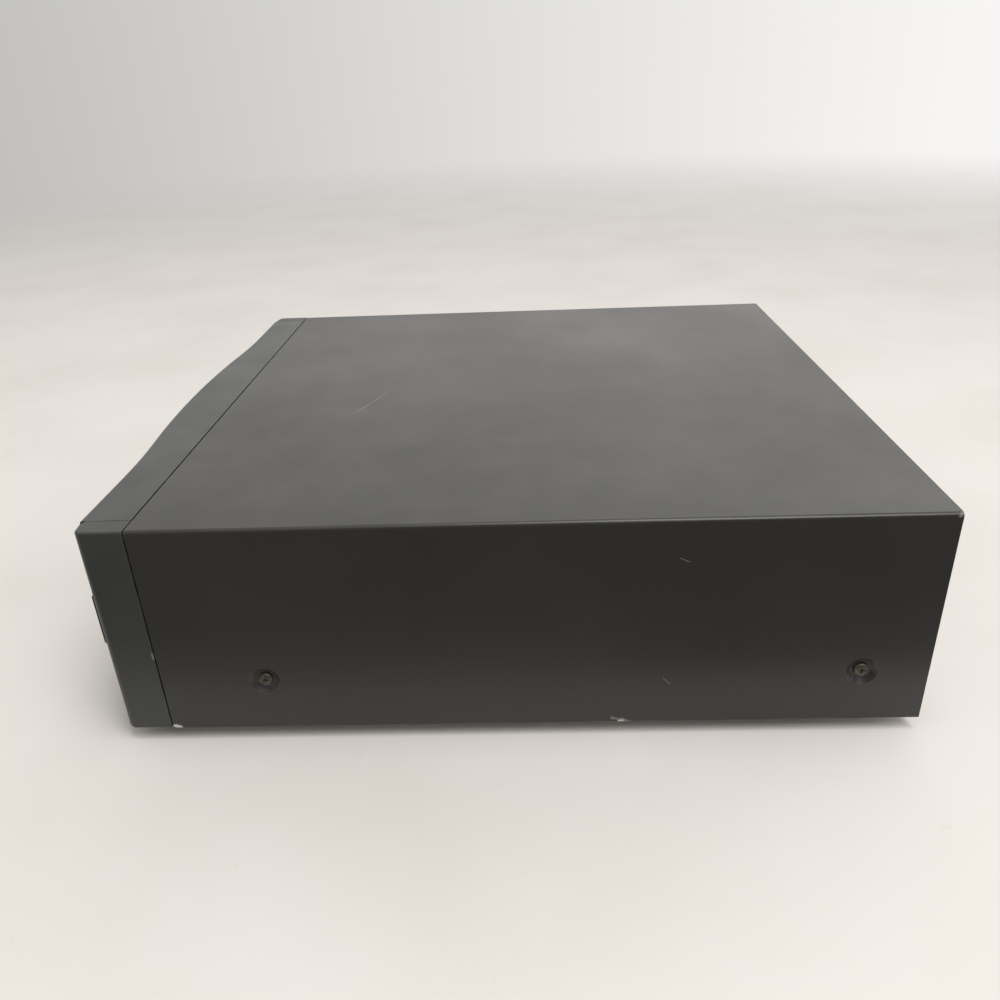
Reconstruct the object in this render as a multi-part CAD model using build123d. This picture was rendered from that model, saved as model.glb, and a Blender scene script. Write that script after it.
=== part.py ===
"""Five disc CD changer: steel case, moulded front, sliding drawer with a turning platter, lifting pickup.

Millimetres. X is the width with +X to the right as seen from the front, -Y is the front, +Z is up.
The origin lies on the floor in the middle of the bounding box.
"""

import os
from math import atan2, cos, degrees, hypot, pi, radians, sin, sqrt, tan

from build123d import *

os.makedirs("parts", exist_ok=True)

# ---------------------------------------------------------------- overall case
overall_width = 435.0
overall_depth = 483.0
foot_height = 9.0
case_height = 131.0
jack_reach = 11.3
sheet = 1.0
touch_gap = 0.4
running_clearance = 0.08

half_width = overall_width / 2
front_end = -overall_depth / 2
rear_end = overall_depth / 2
case_floor = foot_height
case_top = foot_height + case_height
floor_top = case_floor + sheet

# ---------------------------------------------------------------- front moulding
crest_radius = 1000.0
flat_width = 57.0
blend_width = 52.0
drawer_front_proud = 5.8
fascia_depth = 28.1
fascia_wall = 2.5
cheek_width = 13.5
fascia_lift = 0.4
cheek_set_back = 1.1
cheek_seam = 0.5
cheek_wall = 3.0
cheek_corner = 4.5
cheek_toe_radius = 6.0
cheek_crown_radius = 1.4
edge_radius = 1.6
end_web = 3.0
frame_thickness = 1.2
frame_inset = 3.2
cover_joint = 1.0
panel_setback = 1.0
fold = 2.2

fascia_half = half_width - cheek_width
flat_start = fascia_half - flat_width
blend_start = flat_start - blend_width
# The blend's circle meets the crest's circle without a kink, which sets its radius and the bulge.
blend_radius = crest_radius * blend_width / blend_start
crest_bulge = (crest_radius + blend_radius) * (1 - sqrt(1 - (blend_start / crest_radius) ** 2))
flat_y = front_end + drawer_front_proud + crest_bulge
fascia_back = flat_y + fascia_depth
cover_front = fascia_back + cover_joint
cover_rear = rear_end - jack_reach + panel_setback
cover_depth = cover_rear - cover_front
fascia_bottom = case_floor + fascia_lift
cover_inner_half = half_width - sheet
cover_inner_top = case_top - sheet
frame_rear = fascia_back + frame_thickness

# ---------------------------------------------------------------- drawer opening and drawer front
opening_bottom = case_floor + 50.0
opening_height = 34.5
drawer_front_gap = 0.6
drawer_front_wall = 3.0
drawer_front_back_setback = 7.7
opening_top = opening_bottom + opening_height
drawer_front_back = flat_y + drawer_front_back_setback

# ---------------------------------------------------------------- platter and tray
disc_count = 5
disc_well_radius = 61.0
small_well_radius = 41.0
well_edge = 2.0
platter_space = 17.0
platter_front_space = 9.0
platter_rear_space = 8.0
platter_bottom = 78.0
platter_thickness = 6.0
well_depth = 3.5
small_well_depth = 0.8
slot_half = 18.0
finger_radius = 13.0
ring_inset = 4.0
ring_module = 2.0
ring_bottom = 75.0
ring_wall = 3.5
side_space = 32.5
tray_bottom = 62.0
tray_floor = 66.0
tray_floor_thickness = 3.0
tray_rim_above = 1.5
tray_wall = 3.0
tray_recess_clearance = 2.5
runner_out = 8.0
runner_bottom = 74.0
runner_thickness = 4.0
rail_clearance = 0.4
lift_cut_half = 92.0
lift_cut_reach = 63.0
lift_cut_top = 79.0
centre_post_radius = 10.0
centre_bore_clearance = 0.5
cap_radius = 20.0
cap_thickness = 1.6
glide_radius = 150.0
glide_width = 4.0

tray_half = half_width - side_space
platter_radius = tray_half - platter_space
well_pitch_radius = platter_radius - disc_well_radius - well_edge
platter_y = drawer_front_back + platter_front_space + platter_radius
tray_rear = platter_y + platter_radius + platter_rear_space
ring_teeth = round(2 * (platter_radius - ring_inset) / ring_module)
platter_top = platter_bottom + platter_thickness
well_floor = platter_top - well_depth
tray_top = platter_top + tray_rim_above
tray_front = drawer_front_back
tray_floor_top = tray_floor + tray_floor_thickness
recess_radius = platter_radius + tray_recess_clearance
spindle_y = platter_y + well_pitch_radius
lift_cut_front = spindle_y - lift_cut_reach

# ---------------------------------------------------------------- gears
tooth_share = 0.36
tooth_rise = 0.7
mesh_gap = 0.2
tooth_drop = 1.05
flank_angle = 20.0

# ---------------------------------------------------------------- drawer drive
rack_module = 1.5
rack_inset = 11.0
rack_bottom = 60.0
rack_setback = 9.0
rack_teeth = 71
rack_rib = 4.0
pinion_teeth = 24
pinion_setback = 35.6
wheel_module = 1.0
wheel_teeth = 48
wheel_bottom = 51.0
wheel_thickness = 4.0
small_gear_teeth = 12
pulley_radius = 17.0
motor_pulley_radius = 4.5
pulley_bottom = 46.5
pulley_thickness = 3.5
pulley_rim = 1.2
belt_thickness = 1.4
belt_gap = 0.3
motor_distance = 52.0
axle_radius = 2.0
deck_top = 46.0
deck_thickness = 2.0
loading_can_radius = 12.0
loading_can_height = 26.0

rack_x = -(tray_half - rack_inset)
rack_front = tray_front + rack_setback
pinion_y = fascia_back + pinion_setback
pinion_radius = rack_module * pinion_teeth / 2
pinion_x = rack_x + pinion_radius + mesh_gap
wheel_radius = wheel_module * wheel_teeth / 2
small_gear_radius = wheel_module * small_gear_teeth / 2
pulley_x = pinion_x + wheel_radius + small_gear_radius + mesh_gap
motor_pulley_x = pulley_x + motor_distance

# ---------------------------------------------------------------- platter drive
drive_teeth = 10
drive_share = 0.86
motor_can_radius = 12.0
motor_can_height = 9.5
gear_shaft_radius = 1.5
ring_pitch = ring_module * ring_teeth / 2
drive_radius = ring_module * drive_teeth / 2
drive_angle = round(drive_share * ring_teeth) * 360 / ring_teeth
drive_distance = ring_pitch + drive_radius + mesh_gap
drive_x = drive_distance * cos(radians(drive_angle))
drive_y = platter_y + drive_distance * sin(radians(drive_angle))

# ---------------------------------------------------------------- pickup, drawn in its raised place
hinge_x = -80.0
hinge_z = 66.0
lift_angle = 11.0
base_left = -76.0
base_right = 80.0
base_front_reach = 38.0
base_rear_reach = 28.0
base_plate_bottom = 72.0
base_plate = 2.0
base_skirt = 8.0
base_skirt_wall = 1.5
hinge_pin_radius = 2.5
hinge_pin_length = 7.0
bearing_gap = 1.0
bearing_thickness = 7.0
disc_seat_z = 85.8
seat_radius = 14.5
cone_radius = 7.3
cone_height = 2.8
spindle_can_radius = 13.0
spindle_can_height = 9.0
shaft_radius = 1.0
rod_radius = 1.5
rod_half_spread = 16.0
rod_z = 66.5
lens_start = 23.5
lens_travel = 32.0
lens_radius = 4.0
lens_top = 83.2
sled_half = 20.0
sled_bottom = 61.5
sled_height = 8.5
sled_rack_module = 0.8
sled_gear_teeth = 14
sled_gear_x = 33.0
sled_rack_reach = 24.0
lift_pin_radius = 2.0
lift_pin_z = 70.0
slider_x = 86.0
slider_plate = 2.0
slider_travel = 45.0
slider_top = 74.4
slider_low_top = 50.0
lift_teeth = 16
lift_module = 1.5
lift_gear_bottom = 13.0
lift_gear_thickness = 6.0

rod_start = -13.0
rod_end = base_right - base_skirt_wall
base_front = spindle_y - base_front_reach
base_rear = spindle_y + base_rear_reach
slider_middle = slider_x + slider_plate / 2
lift_pitch_x = slider_x + 5.6
lift_gear_x = lift_pitch_x + lift_module * lift_teeth / 2 + mesh_gap

# ---------------------------------------------------------------- clamp
bridge_bottom = 96.0
bridge_half = 30.0
clamper_radius = 16.0
clamper_neck_radius = 9.0
clamper_bottom = 87.0
clamper_hole_clearance = 2.5

# ---------------------------------------------------------------- front boards and controls
board_setback = 5.4
board_side_gap = 2.0
board_thickness = 1.6
switch_height = 3.5
switch_side = 6.0
button_travel = 0.5
button_proud = 2.0
button_gap = 0.35
button_flange = 1.5
knob_radius = 10.0
knob_inset = 56.0
controls_z = 43.0
jack_inset = 24.0
jack_bore_radius = 3.2
window_half = 80.0
window_bottom = 110.0
window_height = 22.0

board_front = fascia_back - board_setback
board_half = fascia_half - board_side_gap
knob_x = knob_inset - fascia_half
jack_x = jack_inset - fascia_half
right_keys_x = fascia_half - 20
middle_keys_x = fascia_half - 56
disc_keys_x = fascia_half - 98
disc_key_pitch = 18.0
outer_keys_x = fascia_half - 26
near_keys_x = fascia_half - 60

# centre x, centre z, width, height of every push button
buttons = {
    "power_button": (22 - fascia_half, 118.0, 26.0, 12.0),
    "disc_skip_button": (middle_keys_x, 126.0, 26.0, 8.0),
    "open_close_button": (right_keys_x, 126.0, 26.0, 8.0),
    "play_button": (disc_keys_x, 44.0, 34.0, 12.0),
    "pause_button": (near_keys_x, 44.0, 26.0, 12.0),
    "stop_button": (outer_keys_x, 44.0, 26.0, 12.0),
    "previous_button": (near_keys_x, 24.0, 26.0, 8.0),
    "next_button": (outer_keys_x, 24.0, 26.0, 8.0),
}
for place in range(disc_count):
    buttons[f"disc_button_{place + 1}"] = (disc_keys_x + place * disc_key_pitch, 107.0, 14.0, 8.0)

# ---------------------------------------------------------------- rear connectors and feet
foot_radius = 19.0
foot_pad = 1.5
foot_inset = 52.5
foot_front_setback = 49.6
foot_rear_setback = 51.2
jack_barrel_radius = 4.15
jack_hole_radius = 1.6
jacks_inset = 54.0
jacks_z = 34.0
jack_spacing = 14.0
inlet_inset = 37.5
inlet_z = 36.0
cover_screw_z = case_floor + 33.0
cover_screw_ys = (cover_front + 59.4, cover_rear - 36.7)
lip_screw_xs = (67.5 - half_width, 0.0, half_width - 67.5)
flange_screw_xs = (67.5 - half_width, -20.0, half_width - 125.5)
dimple_radius = 9.0
dimple_depth = 2.6
screw_head_radius = 4.2
screw_radius = 1.9

panel_rear = cover_rear - panel_setback
panel_front = panel_rear - sheet
flange_outer = half_width - dimple_depth - sheet
foot_x = half_width - foot_inset
foot_front_y = cover_front + foot_front_setback
foot_rear_y = cover_rear - foot_rear_setback
inlet_x = inlet_inset - half_width
main_board_width = 72.0
main_board_length = 194.0
board_right = half_width - 21.5
board_left = board_right - main_board_width
board_rear = panel_front - 15.2
jacks_x = board_right - jacks_inset


# ---------------------------------------------------------------- shapes used more than once
def block(x0, x1, y0, y1, z0, z1):
    """Box between six limits."""
    return Pos((x0 + x1) / 2, (y0 + y1) / 2, (z0 + z1) / 2) * Box(x1 - x0, y1 - y0, z1 - z0)


def post(x, y, z0, z1, radius, top_radius=None):
    """Upright cylinder, or a cone when a top radius is given."""
    if top_radius is None:
        return Pos(x, y, (z0 + z1) / 2) * Cylinder(radius, z1 - z0)
    return Pos(x, y, (z0 + z1) / 2) * Cone(radius, top_radius, z1 - z0)


def bar_x(x0, x1, y, z, radius, end_radius=None):
    """Cylinder along X, or a cone that ends with another radius."""
    if end_radius is None:
        return Pos((x0 + x1) / 2, y, z) * Rot(0, 90, 0) * Cylinder(radius, x1 - x0)
    return Pos((x0 + x1) / 2, y, z) * Rot(0, 90, 0) * Cone(radius, end_radius, x1 - x0)


def bar_y(x, y0, y1, z, radius):
    """Cylinder along Y."""
    return Pos(x, (y0 + y1) / 2, z) * Rot(90, 0, 0) * Cylinder(radius, y1 - y0)


def save(name, *solids):
    """Write one node; several solids stay separate inside it."""
    shape = solids[0] if len(solids) == 1 else Compound(children=list(solids))
    export_step(shape, f"parts/{name}.step")


def front_line(x, shift=0.0):
    """Y of the bulging front face at a given X, moved back by the shift."""
    x = abs(x)
    crest = crest_radius - sqrt(crest_radius**2 - min(x, blend_start) ** 2)
    if x <= blend_start:
        return flat_y - crest_bulge + crest + shift
    if x < flat_start:
        return flat_y - (blend_radius - sqrt(blend_radius**2 - (flat_start - x) ** 2)) + shift
    return flat_y + shift


def front_slab(half, shift, back, bottom, top):
    """Solid between the bulging face moved back by the shift and a flat back plane or a second shift."""
    line = [(-half, front_line(half, shift))]
    edges = []
    if half > flat_start:
        line += [(-flat_start, front_line(flat_start, shift)), (-blend_start, front_line(blend_start, shift))]
        line += [(blend_start, front_line(blend_start, shift)), (flat_start, front_line(flat_start, shift))]
        line += [(half, front_line(half, shift))]
        middle = (flat_start + blend_start) / 2
        edges.append(Line(line[0], line[1]))
        edges.append(ThreePointArc(line[1], (-middle, front_line(middle, shift)), line[2]))
        edges.append(ThreePointArc(line[2], (0, front_line(0, shift)), line[3]))
        edges.append(ThreePointArc(line[3], (middle, front_line(middle, shift)), line[4]))
        edges.append(Line(line[4], line[5]))
    else:
        line.append((half, front_line(half, shift)))
        edges.append(ThreePointArc(line[0], (0, front_line(0, shift)), line[1]))
    edges.append(Line(line[-1], (half, back)))
    edges.append(Line((half, back), (-half, back)))
    edges.append(Line((-half, back), line[0]))
    return Pos(0, 0, bottom) * extrude(make_face(edges), amount=top - bottom)


def tooth_halves(module):
    """Half widths of a tooth at its tip and at its root."""
    half = tooth_share * pi * module / 2
    slope = tan(radians(flank_angle))
    return half - tooth_rise * module * slope, half + tooth_drop * module * slope


def toothed_wheel(module, teeth, x, y, z0, z1, bore, turn=0.0):
    """Spur gear with straight flanks; a tooth points along the turn angle."""
    radius = module * teeth / 2
    tip_half, root_half = tooth_halves(module)
    tip = radius + tooth_rise * module
    root = radius - tooth_drop * module
    corners = []
    for k in range(teeth):
        angle = radians(turn + k * 360 / teeth)
        for out, side in ((root, -root_half), (tip, -tip_half), (tip, tip_half), (root, root_half)):
            corners.append((out * cos(angle) - side * sin(angle), out * sin(angle) + side * cos(angle)))
    face = make_face(Polyline(*corners, close=True)) - Circle(bore)
    return Pos(x, y, z0) * extrude(face, amount=z1 - z0)


def tooth_row(module, teeth, start, pitch_line, z0, z1, back, facing):
    """Rack along Y: the first tooth centre is at the start, and the teeth face along X."""
    tip_half, root_half = tooth_halves(module)
    tip = pitch_line + facing * tooth_rise * module
    root = pitch_line - facing * tooth_drop * module
    step = pi * module
    corners = [(back, start - step / 2)]
    for k in range(teeth):
        middle = start + k * step
        corners += [(root, middle - root_half), (tip, middle - tip_half)]
        corners += [(tip, middle + tip_half), (root, middle + root_half)]
    corners.append((back, start + (teeth - 0.5) * step))
    return Pos(0, 0, z0) * extrude(make_face(Polyline(*corners, close=True)), amount=z1 - z0)


def cross_recess(depth):
    """Cross-shaped cutter that points down from the origin."""
    arm = 3.6
    blade = 0.8
    bars = Box(arm, blade, 2 * depth) + Box(blade, arm, 2 * depth)
    return bars


def pan_screw(length, head=screw_head_radius, height=2.0):
    """Pan head screw along Z with the head's underside at the origin."""
    dome = Pos(0, 0, height / 2) * Cylinder(head, height)
    dome = fillet(dome.edges().group_by(Axis.Z)[-1], 1.3)
    shank = Pos(0, 0, -length / 2) * Cylinder(screw_radius, length)
    return dome + shank - Pos(0, 0, height) * cross_recess(1.1)


# ---------------------------------------------------------------- steel case
# Bottom tray, folded from one sheet, with low flanges and rows of air slots.
chassis_front = frame_rear
chassis_rear = panel_front
flange_height = 37.0
front_flange = 8.0
air_slot_x = half_width - 44.5
air_slot_y = chassis_rear - 144.2
chassis = block(-flange_outer, flange_outer, chassis_front, chassis_rear, case_floor, floor_top)
for side in (-1, 1):
    inner = flange_outer - sheet
    low, high = sorted((side * inner, side * flange_outer))
    chassis += block(low, high, chassis_front, chassis_rear, case_floor, case_floor + flange_height)
chassis += block(-inner, inner, chassis_front, chassis_front + sheet, case_floor, case_floor + front_flange)
chassis += block(-inner, inner, chassis_rear - sheet, chassis_rear, case_floor, case_floor + 16)
slot_cut = None
for row_x in (-air_slot_x, air_slot_x):
    for k in range(9):
        slot_y = air_slot_y + k * 8
        slot = block(row_x - 24, row_x + 24, slot_y, slot_y + 3, case_floor - 1, floor_top + 1)
        slot_cut = slot if slot_cut is None else slot_cut + slot
chassis -= slot_cut
for side in (-1, 1):
    for screw_y in cover_screw_ys:
        low, high = sorted((side * (inner - 1), side * (flange_outer + 1)))
        chassis -= bar_x(low, high, screw_y, cover_screw_z, screw_radius + 0.1)
for screw_x in flange_screw_xs:
    chassis -= bar_y(screw_x, chassis_rear - 2, chassis_rear + 1, case_floor + 8, screw_radius + 0.1)
chassis -= block(jacks_x - 38, jacks_x + 36, chassis_rear - 2, chassis_rear + 1, floor_top, case_floor + 17)
save("bottom_chassis", chassis)

# One-piece cover: top and both sides, tight bends, a short lip folded down at the rear.
outer = Rectangle(overall_width, case_height)
outer = fillet(outer.vertices().group_by(Axis.Y)[-1], fold)
inside = Pos(0, -sheet / 2) * Rectangle(2 * cover_inner_half, case_height - sheet)
inside = fillet(inside.vertices().group_by(Axis.Y)[-1], fold - sheet)
section = Plane.XZ * (outer - inside)
shell = Pos(0, cover_rear, case_floor + case_height / 2) * extrude(section, amount=cover_depth)
rear_lip = block(-cover_inner_half, cover_inner_half, panel_rear, cover_rear, case_top - 13, cover_inner_top)
cover = shell + rear_lip
for side in (-1, 1):
    for screw_y in cover_screw_ys:
        place = Pos(side * half_width, screw_y, cover_screw_z) * Rot(0, side * 90, 0)
        seat = place * Pos(0, 0, -(dimple_depth + sheet) / 2)
        cover += seat * Cone(dimple_radius - 2, dimple_radius + 0.4, dimple_depth + sheet)
        dish = place * Pos(0, 0, -dimple_depth / 2)
        cover -= dish * Cone(dimple_radius - 3, dimple_radius, dimple_depth)
        cover -= place * Cylinder(screw_radius + 0.1, 12)
for screw_x in lip_screw_xs:
    cover -= bar_y(screw_x, panel_rear - 1, cover_rear + 1, case_top - 7, screw_radius + 0.1)
save("top_cover", cover)

# Flat rear sheet with the openings for the signal sockets and the mains inlet.
panel_half = cover_inner_half - 0.2
panel = block(-panel_half, panel_half, panel_front, panel_rear, case_floor + 0.2, cover_inner_top - 0.2)
panel = fillet(panel.edges().filter_by(Axis.Y).group_by(Axis.Z)[-1], 2.0)
for k in range(2):
    panel -= bar_y(jacks_x + (k - 0.5) * jack_spacing, panel_front - 1, panel_rear + 1, jacks_z, 5.2)
optical_x = jacks_x + 26
remote_x = jacks_x - 28
panel -= block(optical_x - 5, optical_x + 5, panel_front - 1, panel_rear + 1, jacks_z - 5, jacks_z + 5)
panel -= bar_y(remote_x, panel_front - 1, panel_rear + 1, jacks_z, 4.1)
inlet_half_x = 13.0
inlet_half_z = 9.0
panel -= block(inlet_x - inlet_half_x, inlet_x + inlet_half_x, panel_front - 1, panel_rear + 1,
               inlet_z - inlet_half_z, inlet_z + inlet_half_z)
for screw_x in flange_screw_xs:
    panel -= bar_y(screw_x, panel_front - 1, panel_rear + 1, case_floor + 8, screw_radius + 0.1)
for screw_x in lip_screw_xs:
    panel -= bar_y(screw_x, panel_front - 1, panel_rear + 1, case_top - 7, screw_radius + 0.1)
for row_z in (78.0, 86.0, 94.0):
    for k in range(8):
        slot_x = 27.5 - half_width + k * 14
        panel -= block(slot_x, slot_x + 10, panel_front - 1, panel_rear + 1, row_z, row_z + 3)
save("rear_panel", panel)

# Steel frame behind the front moulding: it ties the sides together and is open for the drawer.
frame_half = cover_inner_half - frame_inset
frame_top = cover_inner_top - frame_inset
front_frame = block(-frame_half, frame_half, fascia_back, frame_rear, case_floor + 0.6, frame_top)
front_frame = fillet(front_frame.edges().filter_by(Axis.Y).group_by(Axis.Z)[-1], 2.0)
frame_openings = ((fascia_half - 7, opening_bottom - 1, opening_top + 0.5),
                  (fascia_half - 8, case_floor + 8, opening_bottom - 9),
                  (fascia_half - 8, opening_top + 6, case_top - 10))
for open_half, low, high in frame_openings:
    front_frame -= block(-open_half, open_half, fascia_back - 1, frame_rear + 1, low, high)
save("front_frame", front_frame)

# Feet: four moulded cups with soft pads.
feet = []
pads = []
for foot_side in (-foot_x, foot_x):
    for foot_y in (foot_front_y, foot_rear_y):
        cup = post(foot_side, foot_y, foot_pad, foot_height, foot_radius)
        cup = fillet(cup.edges().group_by(Axis.Z)[0], 2.5)
        feet.append(cup)
        pads.append(post(foot_side, foot_y, 0, foot_pad, foot_radius - 4))
save("feet", *feet)
save("foot_pads", *pads)

# Cover screws in their pressed dishes, and the rear panel's smaller screws.
case_screws = []
for side in (-1, 1):
    for screw_y in cover_screw_ys:
        place = Pos(side * (half_width - dimple_depth), screw_y, cover_screw_z) * Rot(0, side * 90, 0)
        case_screws.append(place * pan_screw(6.0))
for screw_x in lip_screw_xs:
    case_screws.append(Pos(screw_x, cover_rear, case_top - 7) * Rot(-90, 0, 0) * pan_screw(6.0, 3.4, 1.8))
for screw_x in flange_screw_xs:
    case_screws.append(Pos(screw_x, panel_rear, case_floor + 8) * Rot(-90, 0, 0) * pan_screw(6.0, 3.4, 1.8))
save("case_screws", *case_screws)

# ---------------------------------------------------------------- front moulding
fascia = front_slab(fascia_half, 0, fascia_back, fascia_bottom, case_top)
top_front = fascia.edges().group_by(Axis.Z)[-1].filter_by(lambda edge: edge.center().Y < fascia_back - 10)
low_front = fascia.edges().group_by(Axis.Z)[0].filter_by(lambda edge: edge.center().Y < fascia_back - 10)
top_front = [edge for edge in top_front if abs(abs(edge.center().X) - fascia_half) > 0.1]
low_front = [edge for edge in low_front if abs(abs(edge.center().X) - fascia_half) > 0.1]
fascia = fillet(top_front + low_front, edge_radius)
hollow_bottom = fascia_bottom + fascia_wall
hollow_top = case_top - fascia_wall
fascia -= front_slab(fascia_half + 1, fascia_wall, fascia_back + 1, hollow_bottom, hollow_top)
web_front = flat_y + cheek_set_back + cheek_wall
for side in (-1, 1):
    low, high = sorted((side * fascia_half, side * (fascia_half + end_web)))
    fascia += block(low, high, web_front, fascia_back, hollow_bottom, hollow_top)
    low, high = sorted((side * (fascia_half - 1), side * (fascia_half + end_web)))
    fascia += block(low, high, web_front, fascia_back, hollow_bottom, hollow_bottom + 3)
    fascia += block(low, high, web_front, fascia_back, hollow_top - 3, hollow_top)
left_bosses = ((54, 126), (100, 106), (9, 22), (92, 36))
right_bosses = ((86, 126), (9, 107), (126, 36), (6, 34))
boss_places = [(0, 36)]
boss_places += [(inset - fascia_half, boss_z) for inset, boss_z in left_bosses]
boss_places += [(fascia_half - inset, boss_z) for inset, boss_z in right_bosses]
for boss_x, boss_z in boss_places:
    fascia += bar_y(boss_x, front_line(boss_x) + 1, board_front, boss_z, 3.0)
fascia -= block(-fascia_half, fascia_half, front_end - 1, fascia_back + 1, opening_bottom, opening_top)
window_top = window_bottom + window_height
fascia -= block(-window_half, window_half, front_end - 1, flat_y + 6, window_bottom, window_top)
for name, (bx, bz, bw, bh) in buttons.items():
    hole = block(bx - bw / 2 - button_gap, bx + bw / 2 + button_gap, front_end - 1, flat_y + 4,
                 bz - bh / 2 - button_gap, bz + bh / 2 + button_gap)
    fascia -= fillet(hole.edges().filter_by(Axis.Y), 1.6)
fascia -= bar_y(jack_x, front_end - 1, flat_y + 4, controls_z - 9, 6.1)
fascia -= bar_y(knob_x, front_end - 1, flat_y + 4, controls_z - 9, 3.7)
save("fascia", fascia)

# End cheeks: separate mouldings that close the front at both sides of the case.
cheek_front = flat_y + cheek_set_back
for side, name in ((-1, "end_cheek_left"), (1, "end_cheek_right")):
    cheek_start = fascia_half + cheek_seam
    outline = [
        (side * cheek_start, cheek_front + 1.2),
        (side * (cheek_start + 2), cheek_front),
        (side * half_width, cheek_front + 1.2),
        (side * half_width, fascia_back),
        (side * cheek_start, fascia_back),
    ]
    plan = make_face(Polyline(*outline, close=True))
    cheek = Pos(0, 0, fascia_bottom) * extrude(plan, amount=case_top - fascia_bottom)
    outer_corner = [edge for edge in cheek.edges().filter_by(Axis.Z)
                    if abs(edge.center().X) > half_width - 1 and edge.center().Y < web_front]
    cheek = fillet(outer_corner, cheek_corner)
    crown = [edge for edge in cheek.edges().group_by(Axis.Z)[-1]
             if edge.center().Y < fascia_back - 1 and abs(edge.center().X) > cheek_start + 0.1]
    cheek = fillet(crown, cheek_crown_radius)
    # Seen from the side, the lower front corner is well rounded.
    profile = Rectangle(fascia_back - cheek_front, 2 * case_height)
    profile = fillet(profile.vertices().group_by(Axis.Y)[0].sort_by(Axis.X)[0], cheek_toe_radius)
    profile = Plane.YZ * Pos((fascia_back + cheek_front) / 2, fascia_bottom + case_height) * profile
    cheek &= extrude(profile, amount=half_width + 1, both=True)
    low, high = sorted((side * (fascia_half - 1), side * (half_width - cheek_wall)))
    cheek -= block(low, high, web_front, fascia_back + 1, hollow_bottom, hollow_top)
    save(name, cheek)

# Smoked display window, seated from behind, with its flange on the back of the front wall.
window = front_slab(window_half - 0.3, 0.3, flat_y + 2, window_bottom + 0.3, window_top - 0.3)
window -= front_slab(window_half + 2, fascia_wall, flat_y + 4, window_bottom, window_top)
flange = front_slab(window_half + 3, fascia_wall, flat_y + 4, window_bottom - 3, window_top + 3)
flange -= front_slab(window_half + 5, fascia_wall + 1.5, flat_y + 5, window_bottom - 4, window_top + 4)
save("display_window", window + flange)

# Front boards with their push switches; the display tube stands on the upper board.
board_back = board_front + board_thickness
upper_board = block(-board_half, board_half, board_front, board_back, opening_top + 4, case_top - 5)
lower_board = block(-board_half, board_half, board_front, board_back, fascia_bottom + 4, opening_bottom - 3)
for name, (bx, bz, bw, bh) in buttons.items():
    half = switch_side / 2
    switch = block(bx - half, bx + half, board_front - switch_height, board_front, bz - half, bz + half)
    if bz > opening_top:
        upper_board += switch
    else:
        lower_board += switch
tube_back = board_front - 3.0
tube_front = tube_back - 8.0
window_middle = (window_bottom + window_top) / 2
for tube_x in (-62.0, 62.0):
    upper_board += block(tube_x - 3, tube_x + 3, tube_back, board_front, window_middle - 9, window_middle + 9)
pot_front = board_front - 8.0
pot = block(knob_x - 6, knob_x + 6, pot_front, board_front, controls_z - 15, controls_z - 3)
knob_shaft_radius = 3.0
pot -= bar_y(knob_x, pot_front - 1, pot_front + 5.5, controls_z - 9, knob_shaft_radius + running_clearance)
lower_board += pot
save("upper_board", upper_board)
save("lower_board", lower_board)
tube = block(-70, 70, tube_front, tube_back, window_middle - 10, window_middle + 10)
save("display_tube", fillet(tube.edges().filter_by(Axis.X), 1.2))

# Headphone socket: body behind the front wall, threaded collar and flange in front.
jack_z = controls_z - 9
jack = block(jack_x - 8, jack_x + 8, flat_y + fascia_wall, board_front, jack_z - 8, jack_z + 8)
jack += bar_y(jack_x, flat_y - 1.5, flat_y + fascia_wall, jack_z, 5.9)
jack += bar_y(jack_x, flat_y - 1.5, flat_y, jack_z, 7.5)
jack_depth = 18.0
jack -= bar_y(jack_x, flat_y - 2, flat_y - 1.5 + jack_depth, jack_z, jack_bore_radius)
save("headphone_jack", jack)

# Level knob with its shaft, which turns in the control behind the front.
knob_front = front_end
knob_back = flat_y - 0.8
knob = bar_y(knob_x, knob_front, knob_back, jack_z, knob_radius)
knob = fillet(knob.edges().group_by(Axis.Y)[0], 1.0)
knob += bar_y(knob_x, knob_back, pot_front + 5.0, jack_z, knob_shaft_radius)
knob -= block(knob_x - 0.6, knob_x + 0.6, knob_front - 1, knob_front + 0.8, jack_z + 2, jack_z + knob_radius)
save("level_knob", knob)

# Push buttons: cap through the wall, rim behind it, stem towards the switch.
for name, (bx, bz, bw, bh) in buttons.items():
    near_x = max(abs(bx) - bw / 2, 0)
    far_x = abs(bx) + bw / 2 + button_flange
    cap_front = front_line(near_x) - button_proud
    rim_front = front_line(far_x) + fascia_wall + touch_gap
    cap = block(bx - bw / 2, bx + bw / 2, cap_front, rim_front, bz - bh / 2, bz + bh / 2)
    cap = fillet(cap.edges().filter_by(Axis.Y), 1.4)
    cap = fillet(cap.edges().group_by(Axis.Y)[0], 0.6)
    rim_x = bw / 2 + button_flange
    rim_z = bh / 2 + button_flange
    rim = block(bx - rim_x, bx + rim_x, rim_front, rim_front + 1.5, bz - rim_z, bz + rim_z)
    stem_end = board_front - switch_height - button_travel - 0.1
    stem = bar_y(bx, rim_front, stem_end, bz, 2.2)
    save(name, cap + rim + stem)

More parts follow.
